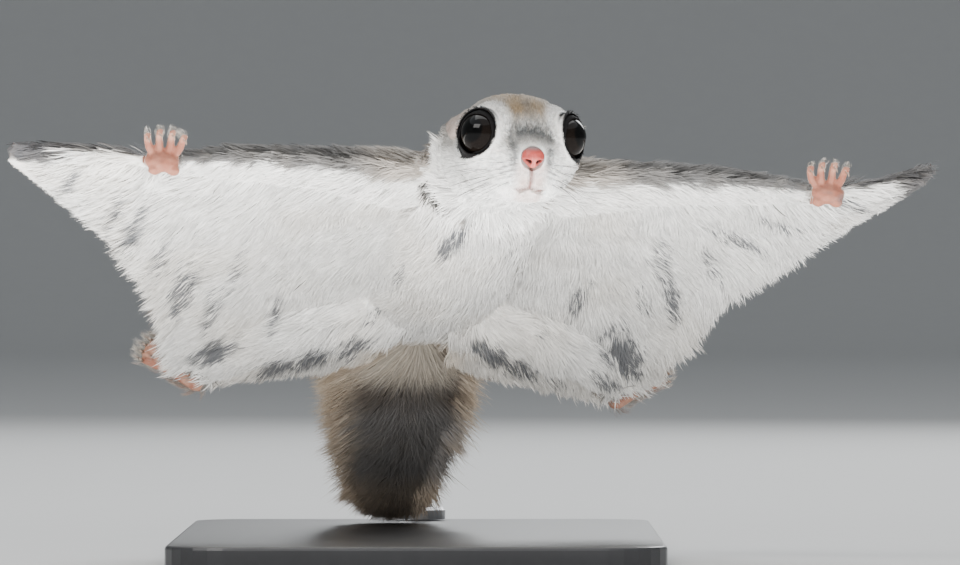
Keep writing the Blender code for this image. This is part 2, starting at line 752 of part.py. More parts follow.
def make_leg(frame, side, fur):
    tag = side_name(side)
    pause = half_gap(LEG, KNEE)
    ankle = len(LEG) - 1.0
    upper = loft_mesh(limb_rings(LEG, side, 0.0, KNEE - pause, 7, 12))
    obj = finish_object("thigh_" + tag, upper, fur, frame)
    boolean(obj, [trunk_cutter()], "DIFFERENCE")
    keep_largest(obj)
    lower = loft_mesh(limb_rings(LEG, side, KNEE + pause, ankle, 6, 12))
    shank = finish_object("shank_" + tag, lower, fur, frame)
    boolean(shank, foot_cutters(side), "DIFFERENCE")
    keep_largest(shank)


def foot_point(side, along, across, down):
    """A point of the hind foot: along from heel to toes, across it, and out of the sole."""
    heel, toes = Vector(HIND_HEEL), Vector(HIND_TOES)
    axis = (toes - heel).normalized()
    sole = Vector((0.80, 0.0, -0.60))
    sole = (sole - axis * sole.dot(axis)).normalized()
    width = axis.cross(sole)
    u, v, w = heel + axis * along + width * across + sole * down
    return (u, side * v, w)


def foot_sole(side, grow=0.0):
    """The heel, the narrow instep and the broad front of the foot, as one tapering form."""
    rows = []
    for along, half, thick in ((-1.8, 1.5, 1.5), (0.0, 2.6, 2.4), (4.0, 2.8, 2.4), (8.0, 3.2, 2.2), (11.5, 3.6, 1.9), (13.2, 2.9, 1.4)):
        rows.append((foot_point(side, along, 0, 0), half + grow, thick + grow))
    rings = []
    for k, (at, half, thick) in enumerate(rows):
        across = body(*foot_point(side, 0, 1, 0)) - body(*foot_point(side, 0, 0, 0))
        out = body(*foot_point(side, 0, 0, 1)) - body(*foot_point(side, 0, 0, 0))
        shift = grow if k == len(rows) - 1 else (-grow if k == 0 else 0.0)
        along = body(*foot_point(side, 1, 0, 0)) - body(*foot_point(side, 0, 0, 0))
        centre = body(*at) + along * shift
        rings.append(oval(centre, across.normalized(), out.normalized(), half, thick, thick, 12))
    return loft_mesh(rings)


def foot_parts(side, grow=0.0):
    """The five toes, curled back, and the pads of the sole."""
    parts = []
    for across, length in TOES:
        path = [
            foot_point(side, 10.1, across * 0.9, 0.17),
            foot_point(side, 12.5, across, 0.06),
            foot_point(side, 12.3 + length * 0.6, across * 1.15, 0.13),
            foot_point(side, 12.3 + length * 0.85, across * 1.2, 0.9),
            foot_point(side, 12.0 + length, across * 1.2, 2.2),
        ]
        parts.append(tube(path, [1.1, 1.15, 1.05, 0.9, 0.3], 6, grow))
    for along, across, size in SOLE_PADS:
        at = foot_point(side, along, across, 1.7)
        parts.append(blob(at, (size + grow, size + grow, 1.3 + grow), detail=1))
    return parts


def foot_cutters(side):
    return [foot_sole(side, GAP), *foot_parts(side, GAP)]


def make_foot(frame, side, skin):
    """The sole with its toes and pads."""
    obj = finish_object("foot_" + side_name(side), foot_sole(side), skin, frame)
    boolean(obj, foot_parts(side), "UNION")
    keep_largest(obj)


def tail_at(distance):
    """Centre, direction and half sizes of the tail at a distance in millimetres from its root."""
    steps = np.linspace(0, len(TAIL) - 1, 101)
    rows = np.array([smooth_rows(TAIL, t) for t in steps])
    run = np.concatenate([[0], np.cumsum(np.linalg.norm(np.diff(rows[:, :3], axis=0), axis=1))])
    at = float(np.interp(distance, run, steps))
    row = smooth_rows(TAIL, at)
    ahead, behind = smooth_rows(TAIL, at + 0.05), smooth_rows(TAIL, at - 0.05)
    along = Vector((ahead - behind)[:3]).normalized()
    past = max(0.0, distance - run[-1])
    return Vector(row[:3]) + along * past, along, row[3], row[4]


def tail_lock(distance, side, tier, rng):
    """One flat, tapered lock of the brush. It leaves the core, bends back and ends at the brush's outline."""
    root, along, half, thick = tail_at(distance)
    up = Vector((0, 0, 1))
    across = along.cross(up).normalized() * side
    up = across.cross(along).normalized() * side
    share = distance / BRUSH_ALONG[-1]
    lie = math.radians(50 - 34 * share + rng.uniform(-3, 3))
    start = root + across * half * 0.25 + up * tier * thick * 0.35
    for reach in np.linspace(34.0, 8.0, 53):
        end_along = distance + reach * math.cos(lie)
        limit = float(np.interp(end_along, BRUSH_ALONG, BRUSH_REACH))
        if half * 0.25 + reach * math.sin(lie) <= limit:
            break
    base = LOCK_SPACING * (0.68 + 0.1 * rng.random())
    rings = []
    for t, width, deep in ((0.0, 0.8, 1.5), (0.35, 1.0, 1.2), (0.75, 0.7, 0.9), (1.0, 0.12, 0.35)):
        swing = lie * (1.15 - 0.3 * t)
        direction = along * math.cos(swing) + across * math.sin(swing)
        normal = along * math.sin(swing) - across * math.cos(swing)
        centre = start + direction * reach * t + up * tier * (0.9 - 0.7 * t * t)
        half_width = base * width
        lens = [normal * half_width, up * deep / 2, -normal * half_width, -up * deep / 2]
        rings.append([body(*(centre + offset)) for offset in lens])
    return loft_mesh(rings)


def centre_lock(distance, length, tier, rng):
    """A broad lock that lies along the top or the underside of the tail's core."""
    root, along, half, thick = tail_at(distance)
    up = Vector((0, 0, 1))
    across = along.cross(up).normalized()
    up = across.cross(along).normalized()
    swing = math.radians(rng.uniform(-8, 8))
    direction = (along * math.cos(swing) + across * math.sin(swing)).normalized()
    rings = []
    for t, width, deep, rise in ((0.0, 4.4, 1.5, 0.45), (0.35, 6.2, 1.3, 0.8), (0.75, 4.6, 1.0, 0.9), (1.0, 0.7, 0.4, 0.7)):
        centre = root + direction * length * t + up * tier * (thick * rise + 0.5 * t)
        normal = across * math.cos(swing) - along * math.sin(swing)
        lens = [normal * width, up * deep / 2, -normal * width, -up * deep / 2]
        rings.append([body(*(centre + offset)) for offset in lens])
    return loft_mesh(rings)


def make_tail(frame, fur):
    """A flat brush: a thin core, locks down both sides in two tiers and locks along its middle."""
    rng = random.Random(LOCK_SEED)
    core = loft_mesh(limb_rings(TAIL, 1, 0.0, len(TAIL) - 1.0, 10, 10))
    obj = finish_object("tail", core, fur, frame)
    locks = []
    for tier in (1, -1):
        offset = 0.0 if tier > 0 else LOCK_SPACING / 2
        for distance in np.arange(4.0 + offset, 89.0, LOCK_SPACING):
            for side in (1, -1):
                locks.append(tail_lock(float(distance), side, tier, rng))
        for distance in np.arange(6.0 + offset, 84.0, 15.0):
            locks.append(centre_lock(float(distance), 19.0, tier, rng))
        locks.append(centre_lock(86.0 + offset, 24.0 - offset, tier, rng))
    boolean(obj, locks, "UNION")
    boolean(obj, [trunk_cutter(), *[flap_guard(side) for side in (1, -1)]], "DIFFERENCE")
    keep_largest(obj)


def flap_guard(side):
    """The rear flap's own space, so that no lock of the tail reaches into it."""
    rows = [v for v in MEMBRANE_COLUMNS if v <= 56]
    middle, offset = [], []
    for v in rows:
        rear = float(np.interp(v, REAR_EDGE_V, REAR_EDGE_U[side])) - GAP
        rear_w = float(np.interp(v, (8, 30, 52), (1.0, -2.0, -5.5)))
        middle.append([body(rear, side * v, rear_w), body(rear + 20, side * v, rear_w + 1.4)])
        offset.append([Vector((0, 0, MEMBRANE_THICK / 2 + 1.2)) * MM] * 2)
    return sheet_mesh(middle, offset)


def make_stand(base_material, rod_material):
    shape = bmesh.new()
    bmesh.ops.create_cube(shape, size=1.0)
    bmesh.ops.scale(shape, vec=Vector(BASE_SIZE) * MM, verts=shape.verts)
    bmesh.ops.translate(shape, vec=(0, 0, BASE_SIZE[2] / 2 * MM), verts=shape.verts)
    upright = [e for e in shape.edges if abs(e.verts[0].co.z - e.verts[1].co.z) > 0.001]
    bmesh.ops.bevel(shape, geom=upright, offset=BASE_CORNER * MM, segments=6, affect="EDGES", profile=0.5)
    top = [e for e in shape.edges if all(v.co.z > BASE_SIZE[2] * MM * 0.9 for v in e.verts)]
    bmesh.ops.bevel(shape, geom=top, offset=0.8 * MM, segments=2, affect="EDGES", profile=0.5)
    mesh = bpy.data.meshes.new("base")
    shape.to_mesh(mesh)
    shape.free()
    base = finish_object("stand_base", mesh, base_material, None)
    boolean(base, [upright_tube([2.0, BASE_SIZE[2] + 3.0], [ROD_RADIUS + GAP] * 2)], "DIFFERENCE")
    heights = [BASE_SIZE[2] + GAP, COLLAR_TOP - 0.8, COLLAR_TOP]
    collar = upright_tube(heights, [COLLAR_RADIUS, COLLAR_RADIUS, COLLAR_RADIUS - 0.8], 24)
    ring = finish_object("stand_collar", collar, rod_material, None)
    boolean(ring, [upright_tube([2.0, COLLAR_TOP + 3.0], [ROD_RADIUS + GAP] * 2)], "DIFFERENCE")


def upright_tube(heights, radii, sides=16):
    """A turned form round the foot of the rod."""
    foot = Vector((ROD_PATH[0][0], ROD_PATH[0][1], 0))
    rings = []
    for height, radius in zip(heights, radii):
        centre = (foot + Vector((0, 0, height))) * MM
        rings.append(oval(centre, Vector((1, 0, 0)), Vector((0, 1, 0)), radius, radius, radius, sides))
    return loft_mesh(rings)


def make_rod(frame, material):
    """The rod from the base, up behind the tail and forward to the rump, trimmed clear of the back."""
    rows = [(*p, ROD_RADIUS) for p in ROD_PATH]
    start = ROD_PATH[0][2] - 2.0 + GAP
    rows[0] = (ROD_PATH[0][0], ROD_PATH[0][1], start, ROD_RADIUS)
    rings = []
    for at in np.linspace(0, len(rows) - 1, ROD_RINGS):
        here = smooth_rows(rows, at)
        ahead, behind = smooth_rows(rows, at + 0.05), smooth_rows(rows, at - 0.05)
        along = Vector((ahead - behind)[:3]).normalized()
        across = Vector((1, 0, 0))
        across = (across - along * across.dot(along)).normalized()
        up = along.cross(across)
        rings.append(oval(Vector(here[:3]) * MM, across, up, ROD_RADIUS, ROD_RADIUS, ROD_RADIUS, 10))
    rod = finish_object("stand_rod", loft_mesh(rings), material, None)
    cutter = trunk_cutter()
    cutter.transform(frame.matrix_world)
    boolean(rod, [cutter], "DIFFERENCE")
    keep_largest(rod)


def main():
    clear_scene()
    frame = glide_frame()
    bpy.context.view_layer.update()
    material = {name: make_material(name) for name in COLOURS}
    make_trunk(frame, material["white_fur"])
    make_head(frame, material["head_fur"], material["pink_skin"], material["eye"])
    for side in (1, -1):
        make_ear(frame, side, material["head_fur"])
        make_arm(frame, side, material["grey_fur"])
        make_hand(frame, side, material["pink_skin"])
        make_leg(frame, side, material["white_fur"])
        make_foot(frame, side, material["pink_skin"])
        make_membranes(frame, side, material["white_fur"])
    make_tail(frame, material["tail_fur"])
    make_stand(material["stand_base"], material["stand_rod"])
    make_rod(frame, material["stand_rod"])


main()
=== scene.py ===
"""The looks of the gliding flying squirrel: its skin, coat, face, feet and stand.

The coat is worked out in the animal's own frame, in millimetres: u runs forward along the back, v to
the animal's left, and w up out of its back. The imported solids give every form; the skin lies inside
them, and thin tapered tufts of fur grow from it.
"""

import math

import bmesh
import bpy
import numpy as np
from mathutils import Matrix, Vector
from mathutils.bvhtree import BVHTree
from mathutils.kdtree import KDTree


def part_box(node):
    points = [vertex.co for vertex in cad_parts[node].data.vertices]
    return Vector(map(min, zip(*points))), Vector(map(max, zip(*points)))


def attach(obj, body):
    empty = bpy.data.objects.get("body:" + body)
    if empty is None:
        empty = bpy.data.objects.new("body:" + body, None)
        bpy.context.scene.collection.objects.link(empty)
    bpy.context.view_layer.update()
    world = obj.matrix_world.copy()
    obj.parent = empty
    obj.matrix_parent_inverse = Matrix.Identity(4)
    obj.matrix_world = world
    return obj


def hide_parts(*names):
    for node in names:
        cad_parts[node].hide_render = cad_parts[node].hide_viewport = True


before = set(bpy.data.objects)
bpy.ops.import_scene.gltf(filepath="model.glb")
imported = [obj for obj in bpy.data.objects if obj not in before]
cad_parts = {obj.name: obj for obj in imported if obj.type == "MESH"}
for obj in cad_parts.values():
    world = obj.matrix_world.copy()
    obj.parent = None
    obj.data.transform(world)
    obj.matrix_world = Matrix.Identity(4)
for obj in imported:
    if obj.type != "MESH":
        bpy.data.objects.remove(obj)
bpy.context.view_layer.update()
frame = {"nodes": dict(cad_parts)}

MM = 0.001

# The glide frame in the world, as the solids have it
GLIDE_AT = (13.0, -75.0, 80.8)
NOSE_UP_DEG = 29.2
TURN_DEG = 13.0
ROLL_DEG = 2.6
NAPE = (29.2, 5.1)
HEAD_TILT_DEG = -30.0

# The photograph's scale and view
PHOTO_MM_PER_PIXEL = 1 / 4.2
PHOTO_CENTRE = (480.0, 282.5)
CAMERA_AT = (0.015, -2.075, 0.0677)
CAMERA_LENS = 315.0

# The face, along the head's axis, to the left, and above it
EYE_RADIUS = 5.2
EYE_SINK = 0.35
EYE_BARE = 6.15
NOSE_AT = (37.0, 0.0, -1.9)
NOSE_SIZE = (1.9, 2.5, 2.3)
LID_CORNER_DEG = 312.0
LID_OPEN_DEG = 66.0
WHISKER_SEED = 3
COAT_SEED = 11

# The tail's core and the outline of its brush
TAIL_ROOT_U = -68.0
CORE_START_U = -64.0
CORE_LENGTH = 88.0
CORE_HALF_WIDTH = 4.6
CORE_HALF_THICKNESS = 3.2
BRUSH_ALONG = (0.0, 8.0, 16.0, 26.0, 40.0, 62.0, 78.0, 91.0, 101.0, 108.0, 112.0)
BRUSH_REACH = (8.0, 13.5, 19.0, 22.0, 23.0, 22.5, 20.8, 17.5, 13.0, 8.0, 1.0)

# Where the belly's coat parts and its dark roots show: photo x, y, half length, half width in
# pixels, the angle of the streak, and how strongly it shows
PARTINGS = (
    (450, 247, 20, 10, 60, 0.85),
    (462, 236, 14, 6, 75, 0.7),
    (400, 276, 12, 7, 70, 0.45),
    (371, 316, 10, 7, 60, 0.5),
    (510, 258, 9, 5, 70, 0.35),
    (272, 320, 20, 6, 80, 0.7),
    (207, 355, 27, 12, 25, 1.0),
    (270, 372, 26, 10, 15, 0.85),
    (308, 362, 26, 9, 18, 0.9),
    (350, 350, 26, 9, 25, 0.8),
    (490, 357, 24, 12, -30, 0.95),
    (524, 374, 20, 10, -25, 0.8),
    (560, 388, 18, 7, -25, 0.45),
    (627, 358, 32, 19, 115, 1.0),
    (610, 388, 20, 10, 150, 0.7),
    (676, 300, 26, 9, 100, 0.8),
    (664, 262, 30, 12, 95, 0.45),
    (646, 300, 24, 7, 100, 0.35),
    (580, 300, 26, 9, 60, 0.55),
    (548, 330, 16, 6, 60, 0.3),
    (134, 235, 28, 10, 60, 0.75),
    (118, 216, 22, 8, 60, 0.6),
    (180, 290, 34, 12, 65, 0.7),
    (208, 312, 22, 9, 65, 0.6),
    (160, 262, 24, 9, 60, 0.5),
    (76, 186, 20, 6, 50, 0.6),
    (235, 270, 26, 7, 65, 0.35),
    (740, 240, 34, 7, 160, 0.5),
    (785, 228, 26, 6, 165, 0.45),
    (852, 205, 26, 6, 160, 0.55),
    (716, 268, 22, 7, 120, 0.4),
)

# The coat's colours, linear
WHITE = (0.80, 0.785, 0.75)
CREAM = (0.70, 0.61, 0.49)
SLATE = (0.10, 0.103, 0.11)
BACK_GREY = (0.235, 0.205, 0.175)
BACK_TIP = (0.40, 0.355, 0.305)
STRIP_GREY = (0.12, 0.118, 0.115)
DARK_TIP = (0.075, 0.075, 0.08)
TAN = (0.27, 0.185, 0.095)
FACE_GREY = (0.36, 0.34, 0.305)
FACE_PALE = (0.76, 0.74, 0.70)
MUZZLE_GREY = (0.07, 0.072, 0.072)
TAIL_GREY = (0.30, 0.28, 0.265)
TAIL_BAND = (0.13, 0.10, 0.075)
TAIL_CREAM = (0.66, 0.54, 0.41)
NOSE_PINK = (0.30, 0.048, 0.038)
NOSE_PALE = (0.48, 0.125, 0.10)
# Painted shade inside the nostrils
NOSTRIL_SHADE = (0.02, 0.004, 0.003)
SKIN_PINK = (0.40, 0.215, 0.15)
PAD_PINK = (0.27, 0.10, 0.065)
LIP_PINK = (0.14, 0.06, 0.05)
EAR_PINK = (0.45, 0.33, 0.28)
LID_DARK = (0.005, 0.0045, 0.0045)
WHISKER = (0.022, 0.017, 0.014)
CLAW = (0.30, 0.22, 0.17)
STEEL = (0.42, 0.42, 0.43)
PAINT = (0.028, 0.028, 0.03)
# The paper near the stand, and far from it with painted shade
PAPER_NEAR_LIT = (0.50, 0.50, 0.495)
PAPER_FAR_SHADED = (0.36, 0.36, 0.356)

# Where the paper's painted shade starts and ends, the floor's flat part, its curve up into the wall and
# the wall's height, in metres
PAPER_SHADE_FADE = (0.5, 2.0)
COVE_FLAT = 5.8
COVE_CURVE = 1.8
COVE_HEIGHT = 7.0


def unit(rows):
    """Rows of vectors, each made one long."""
    return rows / np.maximum(np.linalg.norm(rows, axis=-1, keepdims=True), 1e-12)


def columns(*values):
    """Values side by side as the columns of one array. A bare number fills its column."""
    return np.stack(np.broadcast_arrays(*values), axis=1)


def mix(a, b, share):
    """From a to b by a share for each row."""
    share = np.clip(np.asarray(share, float), 0, 1)[:, None]
    return np.asarray(a, float) * (1 - share) + np.asarray(b, float) * share


def ramp(value, low, high):
    """A smooth step from 0 at low to 1 at high. low may be the larger."""
    t = np.clip((value - low) / (high - low), 0, 1)
    return t * t * (3 - 2 * t)


def bump(value, centre, width):
    return np.exp(-(((value - centre) / width) ** 2))


def noise(points, scale, seed):
    """Smooth value noise from 0 to 1 at points in millimetres, with features of about the scale."""
    grid = points / scale + seed * 17.31
    cell = np.floor(grid).astype(np.int64)
    t = grid - cell
    t = t * t * (3 - 2 * t)
    total = np.zeros(len(points))
    for corner in range(8):
        step = np.array([corner & 1, corner >> 1 & 1, corner >> 2 & 1])
        k = cell + step
        mixed = (k[:, 0] * 73856093) ^ (k[:, 1] * 19349663) ^ (k[:, 2] * 83492791) ^ (seed * 2654435)
        value = ((mixed * 1103515245 + 12345) & 0x7FFFFFFF) / 0x7FFFFFFF
        total += value * np.prod(np.where(step == 1, t, 1 - t), axis=1)
    return total


def glide_matrix():
    nose_up = Matrix.Rotation(math.radians(-NOSE_UP_DEG), 4, "X")
    turn = Matrix.Rotation(math.radians(TURN_DEG), 4, "Z")
    roll = Matrix.Rotation(math.radians(ROLL_DEG), 4, "Y")
    return Matrix.Translation(Vector(GLIDE_AT) * MM) @ roll @ turn @ nose_up


GLIDE = np.array(glide_matrix())
GLIDE_TURN = GLIDE[:3, :3]
GLIDE_SHIFT = GLIDE[:3, 3]


def to_body(points):
    """World points in metres as u, v, w in millimetres."""
    local = (points - GLIDE_SHIFT) @ GLIDE_TURN / MM
    return columns(-local[:, 1], local[:, 0], local[:, 2])


def to_world(uvw):
    local = columns(uvw[:, 1], -uvw[:, 0], uvw[:, 2]) * MM
    return local @ GLIDE_TURN.T + GLIDE_SHIFT


def way_to_body(ways):
    local = ways @ GLIDE_TURN
    return columns(-local[:, 1], local[:, 0], local[:, 2])


def way_to_world(ways):
    local = columns(ways[:, 1], -ways[:, 0], ways[:, 2])
    return local @ GLIDE_TURN.T


def head_to_body(rows):
    """Points along, left of and above the head's axis, as u, v, w."""
    tilt = math.radians(HEAD_TILT_DEG)
    rows = np.atleast_2d(np.asarray(rows, float))
    u = NAPE[0] + rows[:, 0] * math.cos(tilt) - rows[:, 2] * math.sin(tilt)
    w = NAPE[1] + rows[:, 0] * math.sin(tilt) + rows[:, 2] * math.cos(tilt)
    return columns(u, rows[:, 1], w)


def body_to_head(uvw):
    tilt = math.radians(HEAD_TILT_DEG)
    u, w = uvw[:, 0] - NAPE[0], uvw[:, 2] - NAPE[1]
    along = u * math.cos(tilt) + w * math.sin(tilt)
    lift = -u * math.sin(tilt) + w * math.cos(tilt)
    return columns(along, uvw[:, 1], lift)


def head_way_to_body(ways):
    return head_to_body(ways) - head_to_body([(0, 0, 0)])


# Materials


def new_material(name):
    material = bpy.data.materials.new(name)
    material.use_nodes = True
    return material, material.node_tree, material.node_tree.nodes["Principled BSDF"]


def tune(shader, values):
    for name, value in values.items():
        shader.inputs[name].default_value = value


def in_object_space(tree, kind, scale, stretch=None):
    """A texture node in object space. stretch, if given, squeezes it along the axes."""
    source = tree.nodes.new("ShaderNodeTexCoord").outputs["Object"]
    texture = tree.nodes.new(kind)
    texture.inputs["Scale"].default_value = scale
    if stretch:
        squeeze = tree.nodes.new("ShaderNodeMapping")
        squeeze.inputs["Scale"].default_value = stretch
        tree.links.new(source, squeeze.inputs["Vector"])
        source = squeeze.outputs["Vector"]
    tree.links.new(source, texture.inputs["Vector"])
    return texture


def fine_noise(tree, scale, detail=4.0, stretch=None):
    texture = in_object_space(tree, "ShaderNodeTexNoise", scale, stretch)
    texture.inputs["Detail"].default_value = detail
    return texture


def add_bump(tree, shader, texture, strength, distance):
    node = tree.nodes.new("ShaderNodeBump")
    tune(node, {"Strength": strength, "Distance": distance})
    tree.links.new(texture.outputs[0], node.inputs["Height"])
    tree.links.new(node.outputs["Normal"], shader.inputs["Normal"])


def shade_colour(tree, shader, source, texture, low, high):
    """Feeds the base colour with a source colour that a texture makes a little darker or lighter."""
    level = tree.nodes.new("ShaderNodeMapRange")
    tune(level, {"To Min": low, "To Max": high})
    tree.links.new(texture.outputs[0], level.inputs["Value"])
    blend = tree.nodes.new("ShaderNodeMix")
    blend.data_type = "RGBA"
    blend.blend_type = "MULTIPLY"
    blend.inputs["Factor"].default_value = 1.0
    if isinstance(source, tuple):
        blend.inputs["A"].default_value = (*source, 1.0)
    else:
        tree.links.new(source, blend.inputs["A"])
    tree.links.new(level.outputs["Result"], blend.inputs["B"])
    tree.links.new(blend.outputs["Result"], shader.inputs["Base Color"])


def marked_material(name, scale, low, high, values):
    """A material that takes its markings from the mesh's own colours, made finely uneven."""
    material, tree, shader = new_material(name)
    marks = tree.nodes.new("ShaderNodeAttribute")
    marks.attribute_name = "coat"
    shade_colour(tree, shader, marks.outputs["Color"], fine_noise(tree, scale), low, high)
    tune(shader, values)
    return material, tree, shader


def fur_material():
    values = {"Roughness": 0.7, "Specular IOR Level": 0.25, "Sheen Weight": 0.04, "Sheen Roughness": 0.5}
    return marked_material("fur", 900.0, 0.82, 1.16, values)[0]


def skin_material():
    """Skin under the coat, finely wrinkled where it is bare."""
    values = {
        "Roughness": 0.5,
        "Specular IOR Level": 0.25,
        "Subsurface Weight": 0.12,
        "Subsurface Radius": (0.0012, 0.0005, 0.0003),
    }
    material, tree, shader = marked_material("skin", 900.0, 0.82, 1.16, values)
    add_bump(tree, shader, in_object_space(tree, "ShaderNodeTexVoronoi", 2600.0), 0.35, 0.0001)
    return material


def nose_material():
    values = {
        "Roughness": 0.36,
        "Subsurface Weight": 0.2,
        "Subsurface Radius": (0.001, 0.0004, 0.0003),
    }
    material, tree, shader = marked_material("nose_skin", 1400.0, 0.78, 1.15, values)
    add_bump(tree, shader, in_object_space(tree, "ShaderNodeTexVoronoi", 3200.0), 0.5, 0.00008)
    return material


def eye_material():
    """A dark wet eye: a black pupil in a very dark brown iris."""
    return marked_material("wet_eye", 1200.0, 0.6, 1.4, {"Roughness": 0.03, "IOR": 1.3})[0]


def plain_material(name, colour, scale, shades, bumps, values, detail=4.0, stretch=None):
    """One colour with a fine variation. shades are its least and most; bumps a strength and a depth."""
    material, tree, shader = new_material(name)
    texture = fine_noise(tree, scale, detail, stretch)
    shade_colour(tree, shader, colour, texture, *shades)
    add_bump(tree, shader, texture, *bumps)
    tune(shader, values)
    return material


def lid_material():
    values = {"Roughness": 0.75, "Specular IOR Level": 0.12}
    return plain_material("lid_skin", LID_DARK, 2200.0, (0.5, 1.3), (0.4, 0.0001), values)


def horn_material(name, colour, roughness, scale, bump_depth):
    """Whiskers and claws."""
    return plain_material(name, colour, scale, (0.75, 1.2), (0.3, bump_depth), {"Roughness": roughness})


def steel_material():
    values = {"Metallic": 1.0, "Roughness": 0.34}
    along_rod = (1.0, 1.0, 0.03)
    return plain_material("satin_steel", STEEL, 900.0, (0.85, 1.1), (0.12, 0.0001), values, 3.0, along_rod)


def base_material():
    """Satin black paint with a faint orange peel."""
    values = {"Roughness": 0.42, "Coat Weight": 0.25, "Coat Roughness": 0.3}
    return plain_material("satin_black", PAINT, 420.0, (0.85, 1.2), (0.12, 0.0002), values, 3.0)


# Meshes


def link(name, mesh, material):
    mesh.materials.append(material)
    obj = bpy.data.objects.new(name, mesh)
    bpy.context.scene.collection.objects.link(obj)
    return obj


def arrays_of(mesh):
    """Vertex points, vertex normals and triangles of a mesh, as arrays."""
    count = len(mesh.vertices)
    points = np.empty(count * 3)
    mesh.vertices.foreach_get("co", points)
    normals = np.empty(count * 3)
    mesh.vertices.foreach_get("normal", normals)
    mesh.calc_loop_triangles()
    triangles = np.empty(len(mesh.loop_triangles) * 3, np.int32)
    mesh.loop_triangles.foreach_get("vertices", triangles)
    return points.reshape(-1, 3), normals.reshape(-1, 3), triangles.reshape(-1, 3)


def joined(nodes, names, swell):
    """The named nodes' surfaces in one mesh, each closed and swollen so that neighbours run together."""
    whole = bmesh.new()
    for name in names:
        one = bmesh.new()
        one.from_mesh(nodes[name].data)
        bmesh.ops.remove_doubles(one, verts=one.verts, dist=1e-6)
        one.normal_update()
        for vert in one.verts:
            vert.co += vert.normal * swell * MM
        kept = bpy.data.meshes.new("part")
        one.to_mesh(kept)
        one.free()
        whole.from_mesh(kept)
        bpy.data.meshes.remove(kept)
    mesh = bpy.data.meshes.new("joined")
    whole.to_mesh(mesh)
    whole.free()
    return mesh


def fused(mesh, voxel, rounds):
    """One smooth closed surface over a mesh of overlapping parts."""
    obj = bpy.data.objects.new("fused", mesh)
    bpy.context.scene.collection.objects.link(obj)
    remesh = obj.modifiers.new("Remesh", "REMESH")
    remesh.mode = "VOXEL"
    remesh.voxel_size = voxel * MM
    smooth = obj.modifiers.new("Smooth", "SMOOTH")
    smooth.factor = 0.5
    smooth.iterations = rounds
    bpy.context.view_layer.update()
    graph = bpy.context.evaluated_depsgraph_get()
    made = bpy.data.meshes.new_from_object(obj.evaluated_get(graph))
    bpy.data.objects.remove(obj)
    return made


def ring_faces(rings, around, first=0):
    """Faces between rings of points, each a closed loop, the first of them starting at a given index."""
    faces = []
    for r in range(rings - 1):
        for k in range(around):
            n = (k + 1) % around
            near, far = first + r * around, first + (r + 1) * around
            faces.append((near + k, near + n, far + n, far + k))
    return faces


def spread(values, mesh, rounds):
    """Values on vertices, averaged with their neighbours a number of times."""
    edges = np.empty(len(mesh.edges) * 2, np.int32)
    mesh.edges.foreach_get("vertices", edges)
    edges = edges.reshape(-1, 2)
    count = len(mesh.vertices)
    degree = np.bincount(edges.ravel(), minlength=count) + 1.0
    for _ in range(rounds):
        total = values.copy()
        total += np.bincount(edges[:, 0], weights=values[edges[:, 1]], minlength=count)
        total += np.bincount(edges[:, 1], weights=values[edges[:, 0]], minlength=count)
        values = total / degree
    return values


class NodeFinder:
    """Tells which node of the solids is nearest to a point."""

    def __init__(self, nodes, names):
        points, triangles, owners = [], [], []
        for index, name in enumerate(names):
            spots, _, faces = arrays_of(nodes[name].data)
            triangles.append(faces + sum(len(p) for p in points))
            points.append(spots)
            owners.append(np.full(len(faces), index))
        self.owners = np.concatenate(owners)
        spots = np.concatenate(points)
        faces = np.concatenate(triangles)
        self.tree = BVHTree.FromPolygons(spots.tolist(), faces.tolist())

    def owner(self, points):
        found = np.empty(len(points), np.int32)
        for i, point in enumerate(points):
            found[i] = self.owners[self.tree.find_nearest(point)[2]]
        return found


KINDS = ("torso", "neck", "head", "ear", "arm", "leg", "web", "flap", "tip", "hand", "foot", "tail")
COAT_DEPTH = {
    "torso": 2.0,
    "neck": 2.0,
    "head": 1.2,
    "ear": 0.1,
    "arm": 1.1,
    "leg": 2.8,
    "web": 0.6,
    "flap": 0.6,
    "tip": 0.45,
    "hand": 0.1,
    "foot": 0.35,
    "tail": 0.0,
}


def depth_under_coat(kind, uvw, eyes):
    """How deep the skin lies under the solids' surface, in millimetres, by the kind of node."""
    depth = np.array([COAT_DEPTH[k] for k in KINDS])[kind]
    face = kind == KINDS.index("head")
    rows = body_to_head(uvw)
    skull = 0.35 + 1.1 * ramp(rows[:, 0], 33.0, 18.0)
    skull += 1.2 * ramp(rows[:, 0], 17.0, 8.0) * ramp(np.abs(rows[:, 1]), 7.0, 11.0)
    depth = np.where(face, skull, depth)
    for eye in eyes:
        away = np.linalg.norm(uvw - eye, axis=1)
        depth *= 0.1 + 0.9 * ramp(away, 6.6, 9.5)
    return depth


def press_ears(kind, uvw, mesh):
    """The ears lie flatter against the neck than the solids' do, under the coat."""
    share = spread((kind == KINDS.index("ear")).astype(float), mesh, 6)[:, None]
    rows = body_to_head(uvw)
    inward = columns(0.0, -np.sign(rows[:, 1]) * 0.8, -0.8)
    return head_to_body(rows + inward * share)


def kind_of(name):
    """Which kind of place a node of the solids is."""
    starts = {
        "upper_arm": "arm",
        "forearm": "arm",
        "thigh": "leg",
        "shank": "leg",
        "patagium": "web",
        "rear_flap": "flap",
        "wing_tip": "tip",
    }
    for start, kind in starts.items():
        if name.startswith(start):
            return kind
    return name.split("_")[0]


FACE_NODES = ("head", "neck", "ear_l", "ear_r")
LIMB_NODES = tuple(
    f"{name}_{side}" for name in ("upper_arm", "forearm", "thigh", "shank") for side in ("l", "r")
)
WEB_NODES = tuple(f"{name}_{side}" for name in ("patagium", "rear_flap", "wing_tip") for side in ("l", "r"))
PAW_NODES = ("hand_l", "hand_r", "foot_l", "foot_r")
FLESH = ("torso", *FACE_NODES, *LIMB_NODES, *WEB_NODES, *PAW_NODES)


